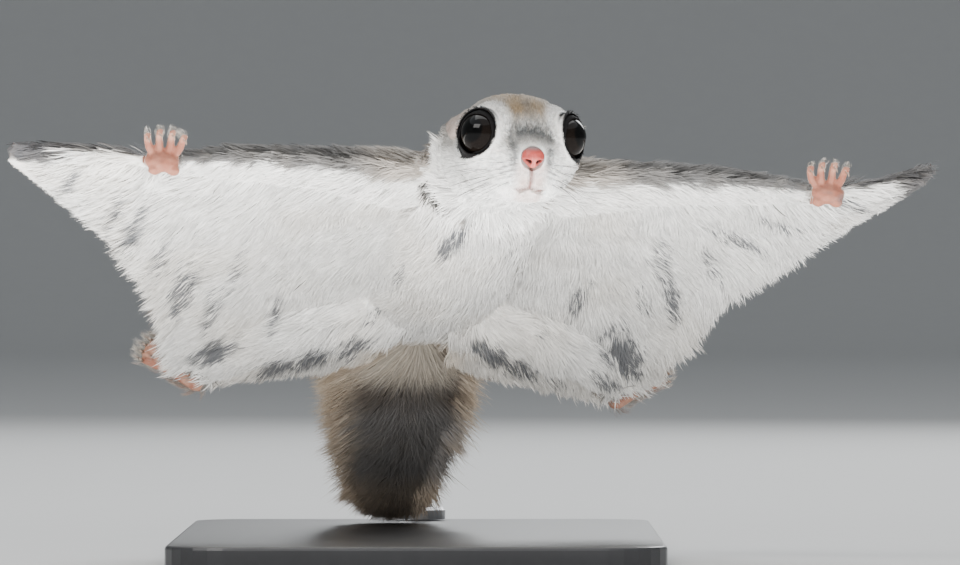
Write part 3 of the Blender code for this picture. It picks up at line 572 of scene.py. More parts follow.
def tail_core_mesh(nodes):
    """The tail's own flesh: a thin tapering core down the middle of the brush."""
    points, _, _ = arrays_of(nodes["tail"].data)
    body = to_body(points)
    rings = []
    for u in np.linspace(CORE_START_U, CORE_START_U - CORE_LENGTH, 23):
        near = body[np.abs(body[:, 0] - u) < 5.0]
        middle = near.mean(axis=0) if len(near) else rings[-1][0]
        t = (CORE_START_U - u) / CORE_LENGTH
        half = CORE_HALF_WIDTH * (1 - 0.82 * t)
        thick = CORE_HALF_THICKNESS * (1 - 0.8 * t)
        rings.append((np.array([u, middle[1], middle[2]]), half, thick))
    centres = np.array([ring[0] for ring in rings])
    for _ in range(12):
        centres[1:-1] = (centres[:-2] + centres[1:-1] * 2 + centres[2:]) / 4
    sides = 16
    spots = []
    for centre, (_, half, thick) in zip(centres, rings):
        for k in range(sides):
            angle = 2 * math.pi * k / sides
            spots.append(centre + np.array([0, half * math.cos(angle), thick * math.sin(angle)]))
    faces = [face[::-1] for face in ring_faces(len(rings), sides)]
    faces.append(tuple(range(sides)))
    faces.append(tuple((len(rings) - 1) * sides + k for k in reversed(range(sides))))
    mesh = bpy.data.meshes.new("tail_core")
    mesh.from_pydata(to_world(np.array(spots)).tolist(), [], faces)
    return mesh, centres


class Skin:
    """The bare animal: its surface, the kind of place at each point, its eyes and its tail's middle."""

    def __init__(self, mesh, kinds, tail_line, eyes):
        self.mesh = mesh
        self.points, self.normals, self.triangles = arrays_of(mesh)
        self.kinds = kinds
        self.tail_line = tail_line
        self.eyes = eyes

    def triangle_kinds(self):
        return self.kinds[self.triangles[:, 0]]


def make_skin(nodes):
    """One skin under the whole coat."""
    eyes = eye_places()
    core, tail_line = tail_core_mesh(nodes)
    finder = NodeFinder(nodes, FLESH)
    kinds_by_node = np.array([KINDS.index(kind_of(name)) for name in FLESH])
    parts = [
        (joined(nodes, ("torso", "neck", *LIMB_NODES, *WEB_NODES), 0.22), 0.82, 9),
        (joined(nodes, FACE_NODES, 0.12), 0.38, 4),
        (joined(nodes, PAW_NODES[:2], 0.0), 0.25, 3),
        (joined(nodes, PAW_NODES[2:], 0.0), 0.28, 3),
    ]
    whole = bmesh.new()
    kinds = []
    for mesh, voxel, rounds in parts:
        made = fused(mesh, voxel, rounds)
        points, normals, _ = arrays_of(made)
        kind = kinds_by_node[finder.owner(points)]
        uvw = to_body(points)
        depth = spread(depth_under_coat(kind, uvw, eyes), made, 12)
        face = kind == KINDS.index("head")
        depth += face * lip_share(body_to_head(uvw)) * 0.55
        points = points - normals * depth[:, None] * MM
        if np.any(kind == KINDS.index("ear")):
            points = to_world(press_ears(kind, to_body(points), made))
        made.vertices.foreach_set("co", points.ravel())
        made.update()
        whole.from_mesh(made)
        kinds.append(kind)
        bpy.data.meshes.remove(made)
    whole.from_mesh(core)
    kinds.append(np.full(len(core.vertices), KINDS.index("tail")))
    skin = bpy.data.meshes.new("skin")
    whole.to_mesh(skin)
    whole.free()
    skin.shade_smooth()
    return Skin(skin, np.concatenate(kinds), tail_line, eyes)


# Where the coat lies, how long it is and how it is marked


class Spots:
    """Places on the skin, with all that the coat's rules ask about them."""

    def __init__(self, points, normals, kinds, tail_line):
        self.points = points
        self.normals = normals
        self.kind = kinds
        self.uvw = to_body(points)
        self.u, self.v, self.w = self.uvw.T
        self.out = np.abs(self.v)
        self.face = way_to_body(normals)
        self.head = body_to_head(self.uvw)
        self.side = np.where(self.v >= 0, 1.0, -1.0)
        self.tail_line = tail_line

    def some(self, chosen):
        return Spots(self.points[chosen], self.normals[chosen], self.kind[chosen], self.tail_line)

    def noise(self, scale, seed):
        return noise(self.points / MM, scale, seed)

    def away(self, place):
        return np.linalg.norm(self.uvw - place, axis=1)

    def is_kind(self, *names):
        return np.isin(self.kind, [KINDS.index(name) for name in names])

    def under(self):
        """1 on the belly's side and 0 on the back's, with an uneven border."""
        wobble = (self.noise(5.0, 4) - 0.5) * 0.5
        high = self.is_kind("torso", "neck") * ramp(self.w, 4.0, 9.0)
        return ramp(self.face[:, 2] + wobble + 0.7 * high, 0.25, -0.15)

    def parting(self):
        """How far the coat is parted and its dark roots show, on the belly's side."""
        return parting_at(self.points) * ramp(self.face[:, 2], 0.2, -0.1)


def photo_place(points):
    """Where points of the animal are in the photograph, in pixels."""
    x = (points[:, 0] - CAMERA_AT[0]) / MM / PHOTO_MM_PER_PIXEL + PHOTO_CENTRE[0]
    y = PHOTO_CENTRE[1] - (points[:, 2] - CAMERA_AT[2]) / MM / PHOTO_MM_PER_PIXEL
    return x, y


def parting_at(points):
    """How strongly one of the partings shows at each point, from 0 to 1."""
    x, y = photo_place(points)
    ragged = (noise(points / MM, 1.3, 8) - 0.5) * 1.1
    most = np.zeros(len(x))
    for px, py, long, wide, angle, strength in PARTINGS:
        c, s = math.cos(math.radians(angle)), math.sin(math.radians(angle))
        along = (x - px) * c - (y - py) * s
        across = (x - px) * s + (y - py) * c
        away = np.sqrt((along / long) ** 2 + (across / wide) ** 2)
        most = np.maximum(most, strength * ramp(away + ragged, 1.3, 0.4))
    return most


def eye_places():
    """Both eyes' centres, read from the solids, as u, v, w."""
    places = []
    for name in ("eye_l", "eye_r"):
        low, high = (np.array(corner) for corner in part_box(name))
        centre = to_body(np.array([(low + high) / 2]))[0]
        places.append(centre - eye_axis(1.0 if centre[1] > 0 else -1.0) * EYE_SINK)
    return places


def head_colour(spots, eyes):
    """The face: pale cheeks and rings round the eyes, a tan brow and a grey bar over the nose."""
    rows = spots.head
    along, across, lift = rows[:, 0], np.abs(rows[:, 1]), rows[:, 2]
    patchy = spots.noise(2.0, 21)
    top = ramp(lift, -3.5, 3.0)
    colour = mix(WHITE, FACE_GREY, top * (0.6 + 0.6 * patchy))
    crown = ramp(lift, 3.0, 7.0) * ramp(across, 9.5, 4.5) * ramp(along, 32.5, 29.0)
    colour = mix(colour, TAN, crown * (0.35 + 0.75 * spots.noise(3.2, 5)))
    back = ramp(along, 20.0, 9.0) * ramp(lift + 0.35 * along, -1.5, 6.0)
    colour = mix(colour, mix(BACK_GREY, BACK_TIP, patchy), back * 0.9)
    bar = bump(along, 33.9, 1.5) * ramp(lift, -2.0, 0.5) * ramp(across, 4.6, 2.8)
    colour = mix(colour, MUZZLE_GREY, bar * 0.95)
    flank = bump(across, 3.9, 0.8) * bump(lift, -2.4, 2.6) * ramp(along, 32.0, 33.5)
    colour = mix(colour, MUZZLE_GREY, flank * 0.9)
    streak = bump(across, 0.4, 0.7) * bump(along, 27.5, 3.0) * ramp(lift, 2.0, 6.0)
    colour = mix(colour, MUZZLE_GREY, streak * 0.45)
    brow = bump(across, 4.6 + 0.25 * (34.0 - along), 0.9) * ramp(along, 24.0, 28.0) * ramp(lift, -2.5, 0.5)
    colour = mix(colour, MUZZLE_GREY, brow * ramp(patchy, 0.05, 0.6) * 0.85)
    whisker_pads = bump(across, 5.3, 2.2) * bump(lift, -5.0, 2.6) * ramp(along, 28.0, 31.0)
    rows_of_roots = ramp(np.sin((lift + 0.35 * across) * 5.2), 0.1, 0.9)
    colour = mix(colour, MUZZLE_GREY, whisker_pads * rows_of_roots * 0.75)
    pink = ramp(along, 32.0, 34.5) * ramp(lift, -1.5, -4.5) * ramp(across, 4.4, 1.8)
    chin = ramp(lift, -9.0, -10.0) * ramp(along, 30.5, 32.5) * ramp(across, 4.0, 1.6)
    colour = mix(colour, SKIN_PINK, np.maximum(pink, chin) * (0.35 + 0.3 * patchy))
    for eye in eyes:
        away = spots.away(eye)
        colour = mix(colour, FACE_PALE, ramp(away, 8.8, 7.2) * 0.8)
        colour = mix(colour, LID_DARK, teardrop_share(spots.uvw, eye))
    return mix(colour, LIP_PINK, lip_share(rows) * 0.95)


def teardrop_share(uvw, eye):
    """1 on the dark rim round an eye, thicker above it and drawn out to a corner low at its back."""
    axis, up, back = lid_frame(1.0 if eye[1] > 0 else -1.0)
    away = uvw - eye
    b, h = away @ back, away @ up
    distance = np.hypot(b, h)
    angle = math.radians(LID_CORNER_DEG)
    to_corner = b * math.cos(angle) + h * math.sin(angle)
    corner = np.clip(to_corner / np.maximum(distance, 1e-6), 0, 1)
    above = np.clip(h / np.maximum(distance, 1e-6), 0, 1)
    rim = 5.75 + 1.55 * corner**5 + 0.3 * above**2
    return ramp(distance, rim + 0.15, rim - 0.15) * ramp(away @ axis, -2.5, -1.5)


def lip_share(rows):
    """1 on the bare rim of the lips and the cleft under the nose."""
    along, across, lift = rows[:, 0], np.abs(rows[:, 1]), rows[:, 2]
    line = -8.9 - 0.5 * ramp(across, 0.0, 2.2) + 0.5 * ramp(across, 2.4, 4.6)
    mouth = bump(lift, line, 0.36) * ramp(across, 5.0, 2.6) * ramp(along, 30.5, 32.5)
    cleft = bump(across, 0, 0.55) * ramp(lift, -3.0, -4.0) * ramp(lift, -9.4, -8.6)
    cleft = cleft * ramp(along, 33.0, 35.0)
    return np.maximum(mouth, cleft)


def paw_colour(spots):
    blotch = spots.noise(1.6, 31)
    colour = mix(SKIN_PINK, PAD_PINK, ramp(blotch, 0.35, 0.75) * 0.7)
    heel = spots.is_kind("hand") * ramp(spots.w, 3.2, 0.8)
    colour = mix(colour, PAD_PINK, heel * 0.8)
    front = ramp(-spots.normals[:, 1], -0.15, 0.45)
    return mix(mix(WHITE, CREAM, blotch), colour, front)


def tail_colour(spots):
    """The tail: a cream patch under its root, a dark band, a grey middle and a cream fringe."""
    along = tail_distance(spots)
    off = spots.v - tail_middle(spots)
    reach = np.interp(along, BRUSH_ALONG, BRUSH_REACH)
    speck = spots.noise(2.4, 41)
    colour = mix(TAIL_GREY, BACK_GREY, ramp(speck, 0.3, 0.9) * 0.7)
    band = bump(along, 26.0, 6.0) + 0.6 * ramp(along, 42.0, 26.0) * ramp(np.abs(off), 5.0, 12.0)
    colour = mix(colour, TAIL_BAND, band * 0.85)
    under = ramp(spots.face[:, 2], 0.4, -0.2)
    colour = mix(colour, CREAM, ramp(along, 23.0, 16.0) * ramp(np.abs(off), 15.0, 11.0) * under)
    ragged = (speck - 0.5) * 0.3
    sides = ramp(np.abs(off) / reach + ragged, 0.52, 0.82)
    end = ramp(along + ragged * 20, 70.0, 90.0)
    return mix(colour, TAIL_CREAM, np.maximum(sides, end) * 0.95)


def tail_middle(spots):
    """v of the tail's middle line beside each place."""
    line = spots.tail_line
    return np.interp(-spots.u, -line[:, 0], line[:, 1])


def tail_distance(spots):
    return (TAIL_ROOT_U - spots.u) / 0.985


def base_colour(spots, eyes):
    """The colour at the tips of the coat, and of the skin where it shows."""
    under = spots.under()
    x, y = photo_place(spots.points)
    speck = spots.noise(2.6, 2)
    broad = spots.noise(14.0, 6)
    belly = mix(WHITE, CREAM, 0.22 * ramp(broad, 0.4, 0.9) + 0.05)
    throat = spots.is_kind("neck", "torso") * ramp(spots.u, 4.0, 24.0)
    belly = mix(belly, CREAM, 0.25 * throat * broad)
    back = mix(BACK_GREY, BACK_TIP, 0.25 + 0.6 * speck)
    colour = mix(back, belly, under)
    limb = spots.is_kind("arm") & (spots.out > 15.0)
    strip = limb * ramp(spots.normals[:, 2] + 0.2 * (speck - 0.5), -0.12, 0.12)
    shoulder = ramp(spots.out, 34.0, 20.0)
    colour = mix(colour, mix(STRIP_GREY, BACK_TIP, shoulder * 0.8 + 0.25 * speck), strip)
    colour = mix(colour, mix(DARK_TIP, BACK_GREY, speck * 0.5), tip_share(spots, x, y))
    hem = spots.is_kind("flap") * 0.2 + spots.is_kind("web") * rim_share(spots) * 0.4
    root = ramp(spots.u, -54.0, -64.0) * ramp(spots.out, 17.0, 9.0)
    colour = mix(colour, CREAM, np.maximum(hem, root * 0.8) * under)
    face = spots.is_kind("head", "ear")
    nape = ramp(spots.head[:, 0], -3.0, 6.0) * spots.is_kind("neck")
    blend = np.maximum(face, nape)
    colour = mix(colour, head_colour(spots, eyes), blend)
    colour = mix(colour, EAR_PINK, 0.45 * spots.is_kind("ear"))
    paws = spots.is_kind("hand", "foot")
    colour = np.where(paws[:, None], paw_colour(spots), colour)
    tail = spots.is_kind("tail")
    return np.where(tail[:, None], tail_colour(spots), colour)


def tip_share(spots, x, y):
    """1 on the slate fur of the wing tips: all of their back, and the upper corner of their underside."""
    ragged = (spots.noise(2.0, 14) - 0.5) * 14
    left = ramp(x + ragged * 0.6, 84.0, 66.0) * ramp(y - x * 0.02 + ragged * 0.3, 164.0, 157.0)
    right = ramp(x + ragged * 0.6, 884.0, 896.0) * ramp(y + 0.9 * x - 1022.0 + ragged * 0.3, 4.0, -3.0)
    front = np.where(x < PHOTO_CENTRE[0], left, right)
    back = 1 - spots.under()
    return np.maximum(front, back * 0.9) * spots.is_kind("tip")


# The membrane's outer rear edge: u against the distance from the midline, on each side
REAR_OUT = (59, 62, 64.5, 68, 73, 79, 87, 96, 103, 109, 113)
REAR_LEFT = (-72, -59, -46, -32, -21, -13, -3.5, 4, 8.5, 13, 17)
REAR_RIGHT = (-73, -62, -52, -42, -32, -23, -13, -2.5, 4.5, 11, 15)


def rear_limit(v, side):
    return np.where(side > 0, np.interp(v, REAR_OUT, REAR_LEFT), np.interp(v, REAR_OUT, REAR_RIGHT))


def rim_share(spots):
    """1 at the membrane's outer and rear rims and 0 some way in from them."""
    outer = spots.u - rear_limit(spots.out, spots.side)
    web = ramp(outer * 0.75, 7.5, 1.5) * (spots.out > 57)
    flap = ramp(spots.u, -65.0, -72.0)
    return np.where(spots.is_kind("flap"), flap, web * spots.is_kind("web", "tip"))


def lie_of_coat(spots, eyes):
    """The way the fur points, before it is laid along the skin, as u, v, w."""
    lie = columns(-1.0, 0.12 * spots.v / 10.0, 0.0)
    slant = (0.25 + 0.75 * ramp(spots.out, 22.0, 70.0)) * (1 - 0.85 * rim_share(spots))
    lies = (
        ("web", -1.0, slant, 0.0),
        ("tip", -0.75, 1.1, 0.0),
        ("flap", -1.0, 0.35, 0.0),
        ("arm", -0.5, 1.0, 0.0),
        ("leg", -0.9, 0.7, -0.1),
        ("hand", 0.3, 0.35, 0.9),
        ("foot", -0.1, 0.8, 0.55),
    )
    for kind, forward, out, up in lies:
        way = columns(forward, spots.side * out, up)
        lie = np.where(spots.is_kind(kind)[:, None], way, lie)
    nose = head_to_body([(38.0, 0, -2.5)])[0]
    flow = unit(spots.uvw - nose)
    for eye in eyes:
        away = spots.uvw - eye
        near = np.exp(-np.maximum(np.linalg.norm(away, axis=1) - 5.5, 0) / 2.2)
        flow = flow + unit(away) * near[:, None] * 1.3
    face = np.maximum(spots.is_kind("head", "ear"), spots.is_kind("neck") * ramp(spots.head[:, 0], -2, 6))
    lie = lie * (1 - face[:, None]) + unit(flow) * face[:, None]
    swirl = (spots.noise(9.0, 12) - 0.5) * math.radians(60)
    swirl = np.where(face > 0.5, swirl * 0.3, swirl)
    c, s = np.cos(swirl), np.sin(swirl)
    turned = columns(lie[:, 0] * c - lie[:, 1] * s, lie[:, 0] * s + lie[:, 1] * c, lie[:, 2])
    return way_to_world(turned)


def coat_length(spots, eyes):
    """The length of the coat in millimetres."""
    out, rim = spots.out, 3.8 * rim_share(spots)
    lengths = {
        "torso": 8.0 - 3.5 * ramp(spots.u, -44.0, -58.0),
        "neck": 3.0 + 2.0 * spots.under(),
        "arm": 5.2 - 2.6 * ramp(out, 50, 76),
        "leg": 7.0 - 2.5 * ramp(out, 35, 55),
        "web": 7.5 - rim,
        "tip": 6.0 - 1.5 * ramp(out, 95, 112) - rim,
        "flap": 7.5 - 3.0 * ramp(out, 22.0, 8.0) - rim,
        "hand": 1.5,
        "foot": 3.4,
    }
    length = np.zeros(len(out))
    for kind, value in lengths.items():
        length = np.where(spots.is_kind(kind), value, length)
    along, lift = spots.head[:, 0], spots.head[:, 2]
    face = 1.1 + 2.3 * ramp(along, 34.0, 20.0) + 0.8 * ramp(along, 14.0, 4.0)
    face += 2.6 * ramp(lift, -6.0, -10.5) * ramp(along, 32.0, 25.0)
    for eye in eyes:
        near = ramp(spots.away(eye), 9.0, 6.2)
        face = face * (1 - 0.55 * near)
    length = np.where(spots.is_kind("head"), face, length)
    for name in ("ear_l", "ear_r"):
        middle = to_body(np.array([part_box(name)]).mean(axis=1))[0]
        near = ramp(spots.away(middle), 9.5, 5.5)
        length = length * (1 - 0.5 * near * spots.is_kind("head", "neck", "torso"))
    return np.where(spots.is_kind("ear"), 1.1, length)


# Tufts

# The side of each tuft's own patch of the bake map
CHART_PATCH = 0.003


class Coat:
    """Thin tapered tufts, gathered for one piece of the coat."""

    def __init__(self, steps):
        self.steps = np.asarray(steps, float)
        self.batches = []

    def add(
        self, roots, normals, softened, lies, lengths, widths, lifts, shade_at, chart, rng, clump, clump_mm
    ):
        """Lays tufts along the skin. lifts are how far the tips stand off, as a share of the length.

        softened holds the normals that the tufts are lit by, as thick fur scatters light.
        shade_at(t, points) gives the colours of the tufts a share t of the way up, at those points.
        """
        count = len(roots)
        lies = unit(lies - normals * np.sum(lies * normals, axis=1, keepdims=True))
        across = np.cross(normals, lies)
        swing = rng.normal(0, 0.13, count)[:, None]
        lies = unit(lies + across * swing)
        across = unit(np.cross(normals, lies))
        size = (lengths * MM)[:, None]
        tips = roots + lies * size * 0.97 + normals * size * lifts[:, None]
        pull = clump_pull(roots, tips, clump_mm, rng) * clump
        curl = rng.normal(0, 0.05, count)[:, None] * size
        roll = rng.normal(0, 0.42, count)[:, None]
        flat = across * np.cos(roll) + normals * np.sin(roll)
        spots, turned, shades, places = [], [], [], []
        for t in (*self.steps, 1.0):
            rise = lifts[:, None] * (1.9 * t - 0.9 * t * t)
            centre = roots + lies * size * (0.97 * t) + normals * (size * rise - 0.35 * MM * (t == 0))
            centre = centre + pull * t**1.6 + across * curl * math.sin(math.pi * t)
            half = widths[:, None] * MM / 2 * (0.55 + 1.25 * t - 1.8 * t * t + 0.06)
            soft = unit(softened * 0.9 + lies * (0.10 + 0.25 * t))
            shade = shade_at(t, centre)
            ends = (0,) if t == 1.0 else (-1, 1)
            for end in ends:
                spots.append(centre + flat * half * end)
                turned.append(unit(soft + flat * 0.35 * end))
                shades.append(shade)
                places.append(chart + np.array([[CHART_PATCH * 0.3 * end, CHART_PATCH * t]]))
        self.batches.append([np.stack(rows, axis=1) for rows in (spots, turned, shades, places)])

    def build(self, name, material):
        """One mesh of all the tufts, with their colours, soft normals and bake map."""
        spots, turned, shades, places = (
            np.concatenate([rows.reshape(-1, rows.shape[-1]) for rows in column])
            for column in zip(*self.batches)
        )
        rings = len(self.steps)
        per = rings * 2 + 1
        tufts = len(spots) // per
        corners = []
        for r in range(rings - 1):
            corners += [2 * r + 1, 2 * r, 2 * r + 2, 2 * r + 3]
        corners += [2 * rings - 1, 2 * rings - 2, 2 * rings]
        sizes = [4] * (rings - 1) + [3]
        loops = (np.arange(tufts)[:, None] * per + np.array(corners)[None, :]).ravel()
        starts = np.concatenate([[0], np.cumsum(np.tile(sizes, tufts))[:-1]])
        mesh = bpy.data.meshes.new(name)
        mesh.vertices.add(len(spots))
        mesh.vertices.foreach_set("co", spots.astype(np.float32).ravel())
        mesh.loops.add(len(loops))
        mesh.loops.foreach_set("vertex_index", loops.astype(np.int32))
        mesh.polygons.add(len(starts))
        mesh.polygons.foreach_set("loop_start", starts.astype(np.int32))
        mesh.update(calc_edges=True)
        mesh.validate()
        colour = mesh.color_attributes.new("coat", "FLOAT_COLOR", "POINT")
        rgba = np.concatenate([shades, np.ones((len(shades), 1))], axis=1)
        colour.data.foreach_set("color", rgba.astype(np.float32).ravel())
        layer = mesh.uv_layers.new(name="OFBake")
        layer.data.foreach_set("uv", places[loops].astype(np.float32).ravel())
        mesh.shade_smooth()
        mesh.normals_split_custom_set_from_vertices(turned.astype(np.float32))
        return link(name, mesh, material)


def clump_pull(roots, tips, clump_mm, rng):
    """How each tip would move to meet the tip of the nearest clump's middle hair."""
    count = len(roots)
    area_share = min(1.0, 1.0 / max(1.0, (clump_mm / mean_gap(roots)) ** 2))
    middles = rng.choice(count, max(4, int(count * area_share)), replace=False)
    tree = KDTree(len(middles))
    for k, index in enumerate(middles):
        tree.insert(roots[index], k)
    tree.balance()
    nearest = np.array([middles[tree.find(root)[1]] for root in roots])
    pull = tips[nearest] - tips
    reach = np.linalg.norm(pull, axis=1, keepdims=True)
    return pull * np.minimum(1.0, 1.6 * clump_mm * MM / np.maximum(reach, 1e-9))


def mean_gap(roots):
    """The usual distance between neighbouring roots, in millimetres."""
    sample = roots[:: max(1, len(roots) // 300)]
    tree = KDTree(len(roots))
    for k, root in enumerate(roots):
        tree.insert(root, k)
    tree.balance()
    gaps = [tree.find_n(root, 2)[1][2] for root in sample]
    return max(0.05, float(np.median(gaps)) * 2.0 / MM)


def scatter(skin, wanted, rng):
    """Random places on the skin. wanted gives tufts for each square millimetre at each triangle."""
    points, normals, triangles = skin.points, skin.normals, skin.triangles
    corners = points[triangles]
    cross = np.cross(corners[:, 1] - corners[:, 0], corners[:, 2] - corners[:, 0])
    area = np.linalg.norm(cross, axis=1) / 2 / MM**2
    share = area * wanted
    count = int(share.sum())
    chosen = rng.choice(len(triangles), count, p=share / share.sum())
    a, b = rng.random(count), rng.random(count)
    flip = a + b > 1
    a[flip], b[flip] = 1 - a[flip], 1 - b[flip]
    c = 1 - a - b
    weights = columns(a, b, c)[:, :, None]
    spots = (points[triangles[chosen]] * weights).sum(axis=1)
    ways = unit((normals[triangles[chosen]] * weights).sum(axis=1))
    return Spots(spots, ways, skin.triangle_kinds()[chosen], skin.tail_line)


def chart_of(spots):
    """Each place on an unwrap of the skin's own shape: flat for the sheets, rolled out for the body."""
    u, v, w = spots.uvw.T
    chart = columns(0.5 + v / 250.0, 0.25 + (u + 75.0) / 400.0)
    chart[:, 1] = chart[:, 1] + np.where(spots.face[:, 2] > 0, 0.5, 0.0)
    rolled = spots.is_kind("torso", "neck")
    angle = np.arctan2(v, -(w - 5.0)) / (2 * math.pi) + 0.5
    chart = np.where(rolled[:, None], columns(angle, 0.5 + u / 220.0), chart)
    face = spots.is_kind("head", "ear")
    turn = np.arctan2(spots.head[:, 1], -spots.head[:, 2]) / (2 * math.pi) + 0.5
    chart = np.where(face[:, None], columns(turn, 0.1 + spots.head[:, 0] / 55.0), chart)
    limb = spots.is_kind("arm", "leg")
    round_limb = np.arctan2(spots.face[:, 2], spots.face[:, 0]) / (2 * math.pi) + 0.5
    lane = np.where(v > 0, 0.5, 0.0) + np.where(spots.is_kind("leg"), 0.25, 0.0)
    along_limb = columns(lane + round_limb * 0.22, 0.1 + np.abs(v) / 110.0)
    chart = np.where(limb[:, None], along_limb, chart)
    tail = spots.is_kind("tail")
    tail_v = 0.5 + (v - 8.0) / 60.0
    tail_u = 0.06 + np.where(spots.face[:, 2] > 0, 0.48, 0.0) + tail_distance(spots) / 280.0
    chart = np.where(tail[:, None], columns(tail_v, tail_u), chart)
    return np.clip(chart, 0.005, 0.99)


# How far up a tuft its rings of points are, for short and for long hair
SHORT = (0.0, 0.5)
LONG = (0.0, 0.3, 0.65)

# Each piece's name, the kinds of place it covers, tufts for each square millimetre, their width and rings
COAT_PIECES = (
    ("coat_head", ("head", "ear"), 16.0, 0.34, SHORT),
    ("coat_throat", ("neck",), 9.2, 0.28, LONG),
    ("coat_trunk", ("torso",), 5.0, 0.34, LONG),
    ("coat_arms", ("arm",), 8.2, 0.28, LONG),
    ("coat_legs", ("leg",), 6.6, 0.30, LONG),
    ("coat_wing_tips", ("tip",), 4.6, 0.32, LONG),
    ("coat_rear_flaps", ("flap",), 8.0, 0.30, LONG),
    ("coat_paws", ("hand", "foot"), 14.0, 0.2, SHORT),
)
WEB_DENSITY = {"under": 6.5, "over": 3.4}
WEB_WIDTH = 0.32
MOST_TUFTS = {2: 64000, 3: 39000}
TAIL_TUFTS = 15500


def lay_coat(skin, fur):
    """The whole coat but the tail's, as one piece for each part of the body."""
    rng = np.random.default_rng(COAT_SEED)
    thin = 1.0
    kinds = skin.triangle_kinds()
    pieces = []
    for name, names, density, width, steps in COAT_PIECES:
        wanted = np.isin(kinds, [KINDS.index(k) for k in names]) * density * thin
        pieces.append(coat_piece(name, skin, wanted, width, steps, fur, rng))
    web = kinds == KINDS.index("web")
    centres = to_body(skin.points[skin.triangles].mean(axis=1))
    face = way_to_body(skin.normals[skin.triangles[:, 0]])[:, 2]
    for side, tag in ((1, "left"), (-1, "right")):
        for place, way in (("under", -1), ("over", 1)):
            wanted = web * (centres[:, 1] * side > 0) * (face * way > 0) * WEB_DENSITY[place] * thin
            name = f"coat_web_{place}_{tag}"
            pieces.append(coat_piece(name, skin, wanted, WEB_WIDTH, LONG, fur, rng))
    return pieces


def coat_piece(name, skin, wanted, width, steps, fur, rng):
    """One piece of the coat, with as many tufts as are wanted at each triangle of the skin."""
    eyes = skin.eyes
    spots = scatter(skin, wanted, rng)
    keep = coat_grows(spots, eyes)
    most = MOST_TUFTS[len(steps)]
    chosen = np.flatnonzero(keep)
    if len(chosen) > most:
        chosen = rng.choice(chosen, most, replace=False)
    spots = spots.some(chosen)
    count = len(chosen)
    tip = base_colour(spots, eyes)
    parted = spots.parting()
    under = spots.under()
    root = mix(tip * 0.6, tip * 0.85, under * (0.5 + 0.5 * ~spots.is_kind("head")))
    shyness = rng.uniform(0.12, 0.95, count)
    vary = np.where(spots.is_kind("head"), 0.13, 0.07)
    patch = np.where(spots.is_kind("head"), spots.noise(1.0, 51), spots.noise(1.8, 51))
    tone = (np.clip(rng.normal(1.0, vary, count), 0.6, 1.25) * (0.85 + 0.3 * patch))[:, None]

    def shade_at(t, places):
        blend = (root * (1 - t**0.8) + tip * t**0.8) * tone
        dark = ramp(parting_at(places) - shyness, -0.2, 0.12) * under
        return mix(blend, SLATE, dark * (1 - 0.1 * t))

    lengths = coat_length(spots, eyes) * np.clip(rng.normal(1.0, 0.16, count), 0.6, 1.5)
    lifts = 0.11 + 0.10 * rng.random(count)
    lifts = np.where(spots.is_kind("head", "ear"), 0.12 + 0.12 * rng.random(count), lifts)
    lifts = np.where(spots.is_kind("neck"), 0.05 + 0.10 * rng.random(count), lifts)
    lifts = np.where(spots.is_kind("foot", "hand"), 0.3 + 0.2 * rng.random(count), lifts)
    lifts = lifts * (1 - 0.5 * parted)
    short = np.clip(lengths / 6.0, 0.35, 1.15)
    widths = width * short * np.clip(rng.normal(1.0, 0.2, count), 0.5, 1.6)
    coat = Coat(steps)
    clump_mm = 0.8 if spots.is_kind("head").any() else 1.9
    coat.add(
        spots.points,
        spots.normals,
        softened_normals(spots),
        lie_of_coat(spots, eyes),
        lengths,
        widths,
        lifts,
        shade_at,
        chart_of(spots),
        rng,
        0.36,
        clump_mm,
    )
    return coat.build(name, fur)


def softened_normals(spots):
    """Normals that even out the light over the sheets, legs and trunk, as their deep fur does."""
    flat = spots.is_kind("torso", "web", "flap", "leg", "tip", "arm", "neck")
    way = way_to_world(columns(0.35 * spots.under(), 0.0, 1 - 2 * spots.under()))
    chin = spots.is_kind("head") * ramp(spots.head[:, 2], -7.0, -10.0)
    throat = np.maximum(chin, spots.is_kind("neck") * spots.under())
    way = mix(way, way_to_world(np.array([[0.7, 0, -0.7]])), throat)
    share = np.where(flat, 0.6, 0.1) + 0.25 * spots.is_kind("leg", "arm", "neck") + 0.5 * chin
    share = share[:, None]
    return unit(spots.normals * (1 - share) + way * share)


def coat_grows(spots, eyes):
    """False where the skin is bare: the eyes, the nose pad, the lips, the palms and the soles."""
    grows = np.ones(len(spots.points), bool)
    for eye in eyes:
        grows &= spots.away(eye) > EYE_BARE
        side = 1.0 if eye[1] > 0 else -1.0
        grows &= spots.away(lid_corner(eye, side)) > 1.1
    nose = head_to_body([NOSE_AT])[0]
    grows &= spots.away(nose) > 3.0
    grows &= ~(spots.is_kind("head") & (lip_share(spots.head) > 0.45))
    palm = spots.is_kind("hand") & ((spots.normals[:, 1] < -0.1) | (spots.w < 2.5))
    sole = spots.is_kind("foot") & (spots.normals[:, 1] < -0.35)
    return grows & ~palm & ~sole


